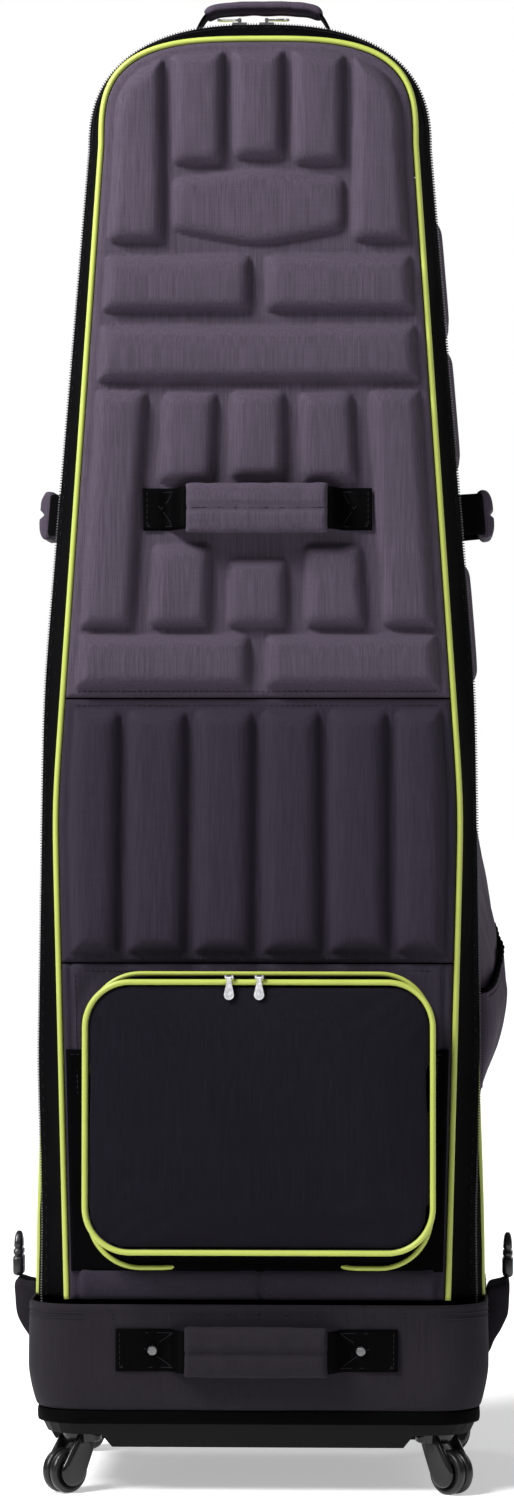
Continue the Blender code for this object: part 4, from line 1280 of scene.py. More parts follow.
@dataclass
class Edging:
    """The bands, zips and piping that run over the case from one foot to the other."""

    count: int = 720
    wall: float = 0.0022
    proud: float = 0.0002
    tucked: tuple[float, float] = (-0.0048, 0.0012)
    bulged: tuple[float, float] = (0.0018, -0.0010)

    def line(
        self, arch: Arch, depth: float, low: float, drape: tuple[float, float] = (0.0, 0.0)
    ) -> tuple[np.ndarray, np.ndarray]:
        """A line over the case at a depth.

        Args:
            arch: Its outline.
            depth: Its depth behind the front face.
            low: The height of its feet.
            drape: How far it bulges near the hem and further up.

        Returns:
            Its points and the directions off the case there.
        """
        path = SHAPE.at(arch.outline(low, self.count), depth)
        along = np.gradient(path, axis=0)
        off = np.cross(along, np.array((0.0, 1.0, 0.0)))
        off /= np.linalg.norm(off, axis=1, keepdims=True)
        if off[0, 0] > 0:
            off = -off
        return path + off * SHAPE.drape(path[:, 2], *drape)[:, None], off

    def band(
        self, name: str, node: str, body: str, front: tuple[object, ...], back: tuple[object, ...], low: float
    ) -> None:
        """A strip of fabric between two lines.

        Args:
            name: Its name.
            node: The CAD node that it stands for.
            body: The body that it rides on.
            front: The outline, depth and drape of its front edge.
            back: The outline, depth and drape of its back edge.
            low: The height of its feet.
        """
        first, off = self.line(front[0], front[1], low, front[2])
        last, _ = self.line(back[0], back[1], low, back[2])
        rows = []
        for share in np.linspace(0, 1, 14):
            sag = 0.0016 * math.sin(share * math.pi)
            rows.append(first + (last - first) * share - off * sag)
        outer = np.array(rows)
        outer += off[None] * (0.00045 * ripple(outer, (0.02, 0.02, 0.03), 5)[..., None] - 0.0002)
        show(solid(name, outer, outer - off[None] * self.wall), name, GUSSET_CLOTH, body, [node])
        lines = []
        for share in (0.14, 0.86):
            path = first + (last - first) * share - off * 0.0007
            lines.append((path, off))
        show(STITCHING.mesh(f"{name}_stitches", lines), f"{name}_stitches", BLACK_THREAD, body)

    def build(self) -> None:
        """Makes the lid's and the shell's bands, zip halves and piping."""
        s = SHAPE
        half = s.chain_width
        self.band(
            "front_gusset_cloth",
            "front_gusset",
            "lid",
            (LID_FACE, s.piping_depth + s.piping_radius + s.gap, (0.0, 0.0)),
            (SHELL, s.zip_depth - s.chain_width - 0.0012, self.tucked),
            s.lid_bottom_z,
        )
        self.band(
            "rear_gusset_cloth",
            "rear_gusset",
            "case",
            (SHELL, s.zip_depth + s.chain_width + 0.0012, self.tucked),
            (SHELL, s.rear_gusset_depth, self.bulged),
            s.skirt_z,
        )
        back = np.array((0.0, 1.0, 0.0))
        for name, body, low, way, start in (
            ("front", "lid", s.lid_bottom_z, back, 0.25),
            ("rear", "case", s.skirt_z, -back, 0.75),
        ):
            path, off = self.line(SHELL, s.zip_depth, low, self.tucked)
            to_seam = np.broadcast_to(way, path.shape)
            seam = path + off * self.proud
            ZipHalf().build(f"{name}_zip", f"{name}_zip_chain", body, seam, off, to_seam, half, start)
        for name, body, arch, depth, low, drape in (
            ("front", "lid", LID_FACE, s.piping_depth, s.lid_bottom_z, (0.0, 0.0)),
            ("rear", "case", SHELL, s.rear_gusset_depth + s.piping_radius + s.gap, 0.166, self.bulged),
        ):
            path, off = self.line(arch, depth, low, drape)
            cord = cord_mesh(f"{name}_piping_cord", path, s.piping_radius, off)
            show(cord, f"{name}_piping_cord", LIME_CORD, body, [f"{name}_piping"])


# Shell


class Strip(Enum):
    """The three panels that wrap the case between the rear piping and the back."""

    LEFT = "side_panel_left"
    TOP = "top_panel"
    RIGHT = "side_panel_right"


@dataclass
class Shell:
    """The fixed half of the upper case."""

    wall: float = 0.0040
    corner_rows: int = 12
    flat_rows: int = 58
    seam_gap: float = 0.0014
    pad_rows: tuple[tuple[float, float], ...] = ((1.026, 1.122), (0.905, 1.006), (0.712, 0.815))
    pad_columns: tuple[tuple[float, float], ...] = ((-0.012, 0.046), (0.058, 0.118))

    def points(self, strip: Strip, arch: Arch) -> np.ndarray:
        """A strip's XZ points on an arch, from the case's left to its right."""
        if strip is Strip.TOP:
            crown = arch.crown(150)
            crown[0, 1] += self.seam_gap
            crown[-1, 1] += self.seam_gap
            return crown
        side = arch.flank(SHAPE.skirt_z, SHAPE.shoulder_z, 330)
        return side if strip is Strip.LEFT else side * (-1, 1)

    def grid(self, strip: Strip) -> np.ndarray:
        """A strip's surface: its rows run from the piping back and round the edge."""
        start = SHAPE.rear_gusset_depth + 2 * (SHAPE.piping_radius + SHAPE.gap)
        outline = self.points(strip, SHELL)
        first = SHAPE.at(outline, start)
        bend = SHAPE.back - SHAPE.back_radius
        rows = []
        for share in np.linspace(0, 1, self.flat_rows, endpoint=False):
            row = first.copy()
            row[:, 1] += (bend - row[:, 1]) * share
            rows.append(row)
        for angle in np.linspace(0, np.pi / 2, self.corner_rows):
            xz = self.points(strip, SHELL.inset(SHAPE.back_radius * (1 - math.cos(angle))))
            y = SHAPE.back - SHAPE.back_radius * (1 - math.sin(angle))
            rows.append(np.column_stack((xz[:, 0], np.full(len(xz), y), xz[:, 1])))
        return np.array(rows)

    def relief(self, strip: Strip, grid: np.ndarray) -> np.ndarray:
        """How far a strip stands off its plain surface.

        Args:
            strip: Which strip.
            grid: Its surface.

        Returns:
            A height for each point.
        """
        rows, cols = grid.shape[:2]
        i = np.arange(rows)[:, None] / (rows - 1)
        j = np.arange(cols)[None] / (cols - 1)
        edge = np.minimum(i / 0.05, 1)
        lift = -0.0012 * (1 - edge) ** 2 + 0.0006 * (ripple(grid, (0.06, 0.06, 0.11), 9) - 1)
        lift = lift + SHAPE.drape(grid[..., 2], *Edging.bulged) * (1 - np.minimum(i / 0.4, 1)) ** 2
        if strip is Strip.TOP:
            return lift + 0.0004 * np.sin(j * np.pi)
        yz = grid[..., 1:]
        room = np.full(yz.shape[:2], 1.0)
        for low, high in self.pad_rows:
            for near, far in self.pad_columns:
                pad = upright_pad(low, high, (near, far), (near + 0.004, far), height=0.0062)
                lift = np.maximum(lift, pad.lift(yz, room))
        if strip is Strip.RIGHT:
            lift = lift + SidePocket().content(grid)
        return lift

    def build(self) -> None:
        """Makes the strips, the back, the board and the straps inside."""
        for strip in Strip:
            base = self.grid(strip)
            out = normals(base, (0.0, 0.02, 0.60, 1.0))
            outer = base + out * self.relief(strip, base)[..., None]
            mesh = solid(f"{strip.value}_cloth", outer, base - out * self.wall)
            show(mesh, f"{strip.value}_cloth", SHELL_CLOTH, "case", [strip.value])
        self.build_back()
        self.build_straps()
        self.stitches()

    def build_back(self) -> None:
        """The flat back panel and the stiffener inside it."""
        arch = SHELL.inset(SHAPE.back_radius + self.seam_gap)
        for name, finish, face, wall, inset, wave in (
            ("back_panel", SHELL_CLOTH, SHAPE.back, self.wall, 0.0, 0.0005),
            ("back_board", LINING, SHAPE.back - self.wall - SHAPE.gap, 0.004, 0.0065, 0.0),
        ):
            shape = arch.inset(inset)
            side = shape.flank(SHAPE.skirt_z, SHAPE.shoulder_z, 240)
            crown = shape.crown(241)
            corner = 48
            left = evenly(np.vstack((side[:-1], crown[: corner + 1])), 260)
            bottom = evenly(np.array((left[0], left[0] * (-1, 1))), 80)
            xz = coons(bottom, evenly(crown[corner : len(crown) - corner], 80), left, left * (-1, 1))
            outer = np.stack((xz[..., 0], np.full(xz.shape[:2], face), xz[..., 1]), axis=-1)
            inner = outer - np.array((0.0, wall, 0.0))
            outer[..., 1] += wave * (ripple(outer, (0.07, 0.07, 0.12), 2) - 1)
            show(solid(f"{name}_sheet", outer, inner), f"{name}_sheet", finish, "case", [name])

    def build_straps(self) -> None:
        """The two webbing hoops that hold the golf bag."""
        back = SHAPE.back - self.wall - 0.004 - 2 * SHAPE.gap
        half, reach = 0.105, 0.150
        own = [
            (-half, back),
            (-half, back - reach * 0.55),
            (-half * 0.86, back - reach * 0.85),
            (-half * 0.55, back - reach),
        ]
        path = smooth_path(own + [(-x, y) for x, y in reversed(own)], 90)
        for name, z in (("lower", 0.380), ("upper", 0.850)):
            line = np.column_stack((path, np.full(len(path), z)))
            mesh = ribbon(f"inner_strap_{name}_webbing", line, np.array((0.0, 0.0, 1.0)), 0.038, 0.0024)
            show(mesh, f"inner_strap_{name}_webbing", WEBBING, "case", [f"inner_strap_{name}"])

    def stitches(self) -> None:
        """Thread along the seams of the side panels and the top."""
        start = SHAPE.rear_gusset_depth + 0.0125
        path = SHAPE.at(SHELL.outline(SHAPE.hem_z + 0.004, 700), start)
        along = np.gradient(path, axis=0)
        off = np.cross(along, np.array((0.0, 1.0, 0.0)))
        off /= np.linalg.norm(off, axis=1, keepdims=True)
        off *= -1 if off[0, 0] > 0 else 1
        lines = [(path - off * 0.0004, off)]
        show(STITCHING.mesh("shell_stitches", lines), "shell_stitches", THREAD, "case")


def ribbon(name: str, path: np.ndarray, across: np.ndarray, width: float, thickness: float) -> bpy.types.Mesh:
    """A flat strap along a path, with rounded edges.

    Args:
        name: The mesh's name.
        path: Its middle line.
        across: The direction across it.
        width: Its width.
        thickness: Its thickness.

    Returns:
        The mesh.
    """
    along = np.gradient(path, axis=0)
    along /= np.linalg.norm(along, axis=1, keepdims=True)
    across = np.broadcast_to(across, path.shape)
    off = np.cross(along, across)
    off /= np.linalg.norm(off, axis=1, keepdims=True)
    edge = []
    for share in np.linspace(-1, 1, 15):
        edge.append((share, math.sqrt(1 - abs(share) ** 14)))
    section = edge + [(a, -b) for a, b in reversed(edge[1:-1])]
    sides = [path + across * (a * width / 2) + off * (b * thickness / 2) for a, b in section]
    rings = np.stack(sides, axis=1)
    return tube(name, rings)


@dataclass
class SidePocket:
    """The pouch on the right side, with a bound mouth that slopes down to the front."""

    bottom: float = 0.345
    mouth_front: float = 0.435
    mouth_back: float = 0.500
    proud: float = 0.0255
    wall: float = 0.0022
    margin: float = 0.020

    def surface(self, share: np.ndarray, along: np.ndarray) -> np.ndarray:
        """Points of the pouch.

        Args:
            share: How far up, from the bottom to the mouth.
            along: How far back.

        Returns:
            Points as (rows, columns, 3).
        """
        mouth = self.mouth_front + (self.mouth_back - self.mouth_front) * along
        z = self.bottom + (mouth - self.bottom) * share
        front = SHAPE.front_y(z) + SHAPE.rear_gusset_depth + self.margin
        y = front + (SHAPE.back - self.margin - front) * along
        bulge = np.sin(np.clip(along, 0, 1) * np.pi) ** 0.38
        tuck = 1 - 0.16 * np.clip(share - 0.75, 0, 1) / 0.25
        belly = np.sin(np.pi / 2 * np.minimum(share / 0.8, 1)) * tuck
        x = SHELL.half(z) + 0.0026 + self.proud * bulge * belly
        return np.stack((x, y, z), axis=-1)

    def content(self, grid: np.ndarray) -> np.ndarray:
        """How far the panel swells in the pouch and above its mouth.

        Args:
            grid: Points of the panel.

        Returns:
            A height for each point.
        """
        y, z = grid[..., 1], grid[..., 2]
        front = SHAPE.front_y(z) + SHAPE.rear_gusset_depth + self.margin
        along = np.clip((y - front) / (SHAPE.back - self.margin - front), 0, 1)
        mouth = self.mouth_front + (self.mouth_back - self.mouth_front) * along
        above = np.clip((z - mouth) / 0.135, 0, 1)
        below = np.clip((mouth - z) / 0.060, 0, 1)
        fade = (1 - above * above * (3 - 2 * above)) * (1 - below * below)
        bulge = np.maximum(self.proud * np.sin(along * np.pi) ** 0.5 - 0.0065, 0)
        slanted = grid + np.stack((np.zeros_like(z), 0.55 * (z - 0.5), np.zeros_like(z)), axis=-1)
        folds = ripple(slanted, (0.05, 0.016, 0.075), 21) * (0.3 + 0.7 * above * (1 - above) * 4)
        return fade * bulge * (1 + 0.20 * folds)

    def build(self) -> None:
        """Makes the pouch, the binding on its mouth and its stitching."""
        share, along = np.meshgrid(np.linspace(0, 1, 46), np.linspace(0, 1, 80), indexing="ij")
        outer = self.surface(share, along)
        out = normals(outer, (1.0, 0.0, 0.0))
        crease = ripple(outer, (0.03, 0.022, 0.045), 12) * np.sin(along * np.pi) * np.minimum(share * 3, 1)
        gather = 0.0007 * np.sin(along * np.pi * 34) * share**3 * np.sin(along * np.pi)
        outer = outer + out * (0.0017 * crease + gather)[..., None]
        mesh = solid("side_pocket_cloth", outer, outer - out * self.wall)
        show(mesh, "side_pocket_cloth", SHELL_CLOTH, "case", ["side_pocket"])
        mouth = outer[-1] - out[-1] * self.wall / 2
        binding = cord_mesh("side_pocket_binding", evenly(mouth, 120), 0.0024, np.array((1.0, 0.0, 0.0)))
        show(binding, "side_pocket_binding", GUSSET_CLOTH, "case")
        lines = [(outer[row, 2:-2] + out[row, 2:-2] * 0.0003, out[row, 2:-2]) for row in (-4, 2)]
        show(STITCHING.mesh("side_pocket_stitches", lines), "side_pocket_stitches", THREAD, "case")


# Base


def rounded_rectangle(half_width: float, half_height: float, corner: float, count: int) -> np.ndarray:
    """A rounded rectangle that starts and ends at the middle of its lower left corner, anticlockwise.

    Args:
        half_width: Half its width.
        half_height: Half its height.
        corner: Its corners' radius.
        count: How many points to return.

    Returns:
        The points.
    """
    points = []
    for number, (sx, sy) in enumerate(((-1, -1), (1, -1), (1, 1), (-1, 1), (-1, -1))):
        low, high = 180 + 90 * number, 270 + 90 * number
        angles = np.radians(np.linspace(low, high, 17))
        if number == 0:
            angles = angles[8:]
        if number == 4:
            angles = angles[:9]
        x = sx * (half_width - corner) + corner * np.cos(angles)
        y = sy * (half_height - corner) + corner * np.sin(angles)
        points.append(np.column_stack((x, y)))
    return evenly(np.vstack(points), count)


@dataclass
class Base:
    """The fabric cover round the moulded tray, its binding and the padded floor."""

    half_width: float = 0.202
    half_depth: float = 0.165
    corner: float = 0.045
    bottom: float = 0.0752
    shoulder: float = 0.112
    draw_in: float = 0.007
    wall: float = 0.0040
    count: int = 560

    def ring(self, z: float, inset: float) -> np.ndarray:
        """The base's outline at a height, moved inwards."""
        xy = rounded_rectangle(
            self.half_width - inset, self.half_depth - inset, self.corner - inset / 2, self.count + 1
        )[:-1]
        return np.column_stack((xy[:, 0], xy[:, 1] + SHAPE.middle_y, np.full(len(xy), z)))

    def draw(self, z: float) -> float:
        """How far the cover is drawn in at a height."""
        share = min(max((self.shoulder - z) / (self.shoulder - self.bottom), 0), 1)
        return self.draw_in * share**1.6

    def build(self) -> None:
        """Makes the base's pieces."""
        top = SHAPE.hem_z
        heights = np.linspace(self.bottom, top, 40)
        outer = np.array([self.ring(z, self.draw(z)) for z in heights])
        inner = np.array([self.ring(z, self.draw(z) + self.wall) for z in heights])
        out = normals(outer, (0.0, SHAPE.middle_y, 0.12, 1.0), ring=True)
        waves = 0.0007 * (ripple(outer, (0.045, 0.045, 0.05), 4) - 1)
        hem = np.clip(1 - np.abs(outer[..., 2] - (top - 0.009)) / 0.0015, 0, 1) * 0.0007
        edge = np.clip(1 - (top - outer[..., 2]) / 0.003, 0, 1) ** 2 * 0.0012
        low = np.clip(1 - (outer[..., 2] - self.bottom) / 0.003, 0, 1) ** 2 * 0.0012
        outer = outer + out * (waves - hem - edge - low)[..., None]
        mesh = solid("base_cover_cloth", outer, inner, ring=True)
        show(mesh, "base_cover_cloth", BASE_CLOTH, "case", ["base_cover"])
        rows = [int(np.argmin(np.abs(heights - z))) for z in (top - 0.0060, top - 0.0130)]
        lines = [(outer[row] + out[row] * 0.0003, out[row]) for row in rows]
        show(STITCHING.mesh("base_hem_stitches", lines), "base_hem_stitches", THREAD, "case")
        self.build_binding()
        self.build_floor()
        dress("base_tray", BASE_PLASTIC, 0.0012)

    def build_binding(self) -> None:
        """The black binding between the cover and the tray."""
        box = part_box("base_binding")
        inset = self.half_width - box[1].x
        rows_out, rows_in = [], []
        for share in np.linspace(0, 1, 9):
            z = box[0].z + (box[1].z - box[0].z) * share
            swell = 0.0007 * math.sin(share * math.pi) ** 0.5
            rows_out.append(self.ring(z, inset - swell))
            rows_in.append(self.ring(z, inset + 0.0023))
        mesh = solid("base_binding_tape", np.array(rows_out), np.array(rows_in), ring=True)
        show(mesh, "base_binding_tape", WEBBING, "case", ["base_binding"])

    def build_floor(self) -> None:
        """The padded floor, quilted in squares."""
        low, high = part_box("floor_pad")
        half_x, half_y = (high.x - low.x) / 2, (high.y - low.y) / 2
        runs = rounded_rectangle(half_x, half_y, 0.034, 401)
        bottom, right, top, left = (runs[k * 100 : k * 100 + 101] for k in range(4))
        xy = coons(bottom, top[::-1], left[::-1], right)
        room = np.minimum(half_x - np.abs(xy[..., 0]), half_y - np.abs(xy[..., 1]))
        edge = np.clip(room / 0.012, 0, 1)
        quilt = np.abs(np.sin(xy[..., 0] * np.pi / 0.062)) * np.abs(np.sin(xy[..., 1] * np.pi / 0.062))
        thick = high.z - low.z
        upper = low.z + thick * (0.25 + 0.75 * np.sqrt(1 - (1 - edge) ** 2)) * (0.82 + 0.18 * quilt**0.4)
        y = xy[..., 1] + SHAPE.middle_y
        outer = np.stack((xy[..., 0], y, upper), axis=-1)
        inner = np.stack((xy[..., 0], y, np.full(xy.shape[:2], low.z)), axis=-1)
        quilt = solid("floor_pad_quilt", outer, inner)
        show(quilt, "floor_pad_quilt", LINING, "case", ["floor_pad"])


# Handles


@dataclass
class Handle:
    """A webbing strap sewn down at its two feet, with a padded fabric grip of two tubes round it."""

    name: str
    body: str
    place: Matrix
    path: np.ndarray
    grip_half: float
    grip_finish: Finish = SHELL_CLOTH
    grip_width: float = 0.0435
    grip_thickness: float = 0.0140
    strap_width: float = 0.0370
    strap_thickness: float = 0.0022
    foot: float = 0.030
    padding_out: float = 0.0
    groove: float = 0.52
    seed: int = 1

    def world(self, points: np.ndarray) -> np.ndarray:
        """Puts local points in the row frame."""
        m = np.array(self.place)
        return points @ m[:3, :3].T + m[:3, 3]

    def build(self) -> None:
        """Makes the strap, the grip and their stitches."""
        line = np.column_stack((self.path[:, 0], np.zeros(len(self.path)), self.path[:, 1]))
        across = np.array((0.0, 1.0, 0.0)) @ np.array(self.place)[:3, :3].T
        width, thickness = self.strap_width, self.strap_thickness
        strap = ribbon(f"{self.name}_webbing", self.world(line), across, width, thickness)
        show(strap, f"{self.name}_webbing", WEBBING, self.body, [f"{self.name}_strap"])
        self.build_grip(line)
        self.build_stitches(line)

    def build_grip(self, line: np.ndarray) -> None:
        """The padded grip.

        Args:
            line: The strap's middle line in local coordinates.
        """
        middle = evenly(line[np.abs(line[:, 0]) <= self.grip_half], 96)
        _, off, across = frames_along(middle, np.array((0.0, 0.0, 1.0)))
        middle = middle + off * self.padding_out
        angle = np.linspace(0, 2 * np.pi, 56, endpoint=False)
        share = np.sign(np.cos(angle)) * np.abs(np.cos(angle)) ** 0.75
        lobes = np.abs(np.sin(angle)) ** 0.72 * (1 - self.groove * np.exp(-((share / 0.09) ** 2)))
        rise = np.sign(np.sin(angle)) * lobes * self.grip_thickness / 2
        t = np.linspace(-1, 1, len(middle))
        end = (1 - np.abs(t) ** 26) ** 0.5 * 0.86 + 0.14
        side = share[None] * self.grip_width / 2 * (0.94 + 0.06 * end[:, None])
        rings = middle[:, None] + across[:, None] * side[..., None]
        rings = rings + off[:, None] * (rise[None] * end[:, None])[..., None]
        out = off[:, None] * np.sin(angle)[None, :, None] + across[:, None] * np.cos(angle)[None, :, None]
        near_end = np.clip((np.abs(t) - 0.72) / 0.28, 0, 1)[:, None]
        folds = 0.00045 * ripple(rings, (0.012, 0.020, 0.020), self.seed)
        gathers = 0.0006 * ripple(rings, (0.030, 0.004, 0.004), self.seed + 1) * near_end
        rings = rings + out * (folds + gathers)[..., None]
        mesh = tube(f"{self.name}_padding", self.world(rings))
        show(mesh, f"{self.name}_padding", self.grip_finish, self.body, [f"{self.name}_grip"])
        groove = middle[4:-4] + off[4:-4] * (self.grip_thickness / 2 * (1 - self.groove) + 0.0002)
        face = self.world(groove) - self.world(groove - off[4:-4])
        mesh = STITCHING.mesh(f"{self.name}_padding_stitches", [(self.world(groove), face)])
        show(mesh, f"{self.name}_padding_stitches", THREAD, self.body)

    def build_stitches(self, line: np.ndarray) -> None:
        """A box and a cross of thread on each foot.

        Args:
            line: The strap's middle line in local coordinates.
        """
        lines = []
        for way in (-1, 1):
            ends = line if way < 0 else line[::-1]
            run = np.concatenate(([0.0], np.cumsum(np.linalg.norm(np.diff(ends, axis=0), axis=1))))
            inner, outer = self.foot - 0.002, 0.0035
            side = self.strap_width / 2 - 0.0035
            corners = [(outer, -side), (inner, -side), (inner, side), (outer, side)]
            pairs = list(zip(corners, corners[1:] + corners[:1]))
            pairs += [(corners[0], corners[2]), (corners[1], corners[3])]
            for (a, b), (c, d) in pairs:
                at = np.linspace(a, c, 12)
                spot = np.column_stack([np.interp(at, run, ends[:, k]) for k in range(3)])
                spot[:, 1] = np.linspace(b, d, 12)
                level = np.column_stack([np.interp(at, run, ends[:, k]) for k in range(3)])
                tilt = np.gradient(level, axis=0)
                tilt = tilt if np.abs(tilt).sum() > 1e-9 else np.broadcast_to((1.0, 0.0, 0.0), spot.shape)
                off = np.cross(tilt, (0.0, 1.0, 0.0))
                length = np.maximum(np.linalg.norm(off, axis=1, keepdims=True), 1e-12)
                off = np.where(length > 1e-7, off / length, (0.0, 0.0, 1.0))
                off *= np.sign(off[:, 2:])
                spot = spot + off * (self.strap_thickness / 2 + 0.0001)
                lines.append((self.world(spot), self.world(spot + off) - self.world(spot)))
        mesh = STITCHING.mesh(f"{self.name}_foot_stitches", lines)
        show(mesh, f"{self.name}_foot_stitches", BLACK_THREAD, self.body)


@dataclass
class Handles:
    """The case's five handles."""

    grip_length: float = 0.131
    ramp: float = 0.010
    strap_thickness: float = 0.0022
    front_z: float = 0.860
    front_rise: float = 0.021
    base_z: float = 0.129
    base_rise: float = 0.017
    left_rise: float = 0.0145
    side_z: float = 0.860
    side_y: float = 0.049
    top_y: float = 0.035
    top_half: float = 0.062
    top_rise: float = 0.031
    top_foot: float = 0.026

    def path(self, grip_length: float, foot: float, rise: float) -> np.ndarray:
        """A strap's path: two feet on a surface and a level run above it."""
        low = SHAPE.gap + self.strap_thickness / 2
        inner = grip_length / 2
        outer = inner + self.ramp
        left = [(-outer - foot, low), (-outer - foot / 2, low), (-outer, low)]
        left += [(-inner, rise), (-inner * 0.8, rise)]
        return smooth_path(left + [(0, rise)] + [(-x, z) for x, z in reversed(left)], 160)

    def top_path(self) -> np.ndarray:
        """The top strap's path: its feet follow the crown."""
        crown = SHELL.crown(241)
        lift = 2 * SHAPE.gap + self.strap_thickness / 2
        half = self.top_half
        left = []
        for share in (1.0, 0.6, 0.2):
            x = half + self.top_foot * share
            left.append((-x, float(np.interp(-x, crown[:, 0], crown[:, 1])) + lift))
        peak = crown[:, 1].max() + self.top_rise
        for x in (half * 0.82, half * 0.45):
            left.append((-x, peak - (self.top_rise - self.strap_thickness) * (x / half) ** 4 * 0.5))
        return smooth_path(left + [(0, peak)] + [(-x, z) for x, z in reversed(left)], 160)

    def build(self) -> None:
        """Makes all five."""
        stand = Matrix.Rotation(math.pi / 2, 4, "X")
        tilt = Matrix.Rotation(math.pi / 2 - math.atan(SHAPE.lean), 4, "X")
        inner = self.grip_length / 2 - self.ramp / 4
        front = Matrix.Translation((0, SHAPE.front_y(self.front_z) - SHAPE.gap, self.front_z)) @ tilt
        path = self.path(self.grip_length, 0.0245, self.front_rise)
        Handle("front_handle", "lid", front, path, inner, foot=0.030, seed=3).build()
        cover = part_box("base_cover")[0].y
        base = Matrix.Translation((0, cover, self.base_z)) @ stand
        path = self.path(self.grip_length, 0.047, self.base_rise)
        Handle("base_handle", "case", base, path, inner, BASE_CLOTH, foot=0.053, seed=6).build()
        slope = math.atan((SHELL.waist - SHELL.shoulder) / (SHELL.shoulder_z - SHELL.waist_z))
        length = 0.100
        surface = float(SHELL.half(np.array(self.side_z))) + SHAPE.gap
        for name, side in (("left", -1), ("right", 1)):
            lean = Matrix.Rotation(side * (math.pi / 2 - slope), 4, "Y")
            outwards = lean @ Matrix.Rotation(math.pi / 2, 4, "Z")
            place = Matrix.Translation((side * surface, self.side_y, self.side_z)) @ outwards
            path = self.path(length, 0.018, self.front_rise if side > 0 else self.left_rise)
            Handle(
                f"side_handle_{name}",
                "case",
                place,
                path,
                length / 2 - self.ramp / 4,
                grip_thickness=0.0165,
                padding_out=0.0028,
                foot=0.023,
                seed=9,
            ).build()
        place = Matrix.Translation((0, self.top_y, 0))
        Handle(
            "top_handle",
            "case",
            place,
            self.top_path(),
            self.top_half * 0.85,
            grip_thickness=0.0105,
            foot=self.top_foot,
            seed=12,
        ).build()
        for name in ("left", "right"):
            dress(f"base_rivet_{name}", RIVET, 0.0007)


# Front pocket


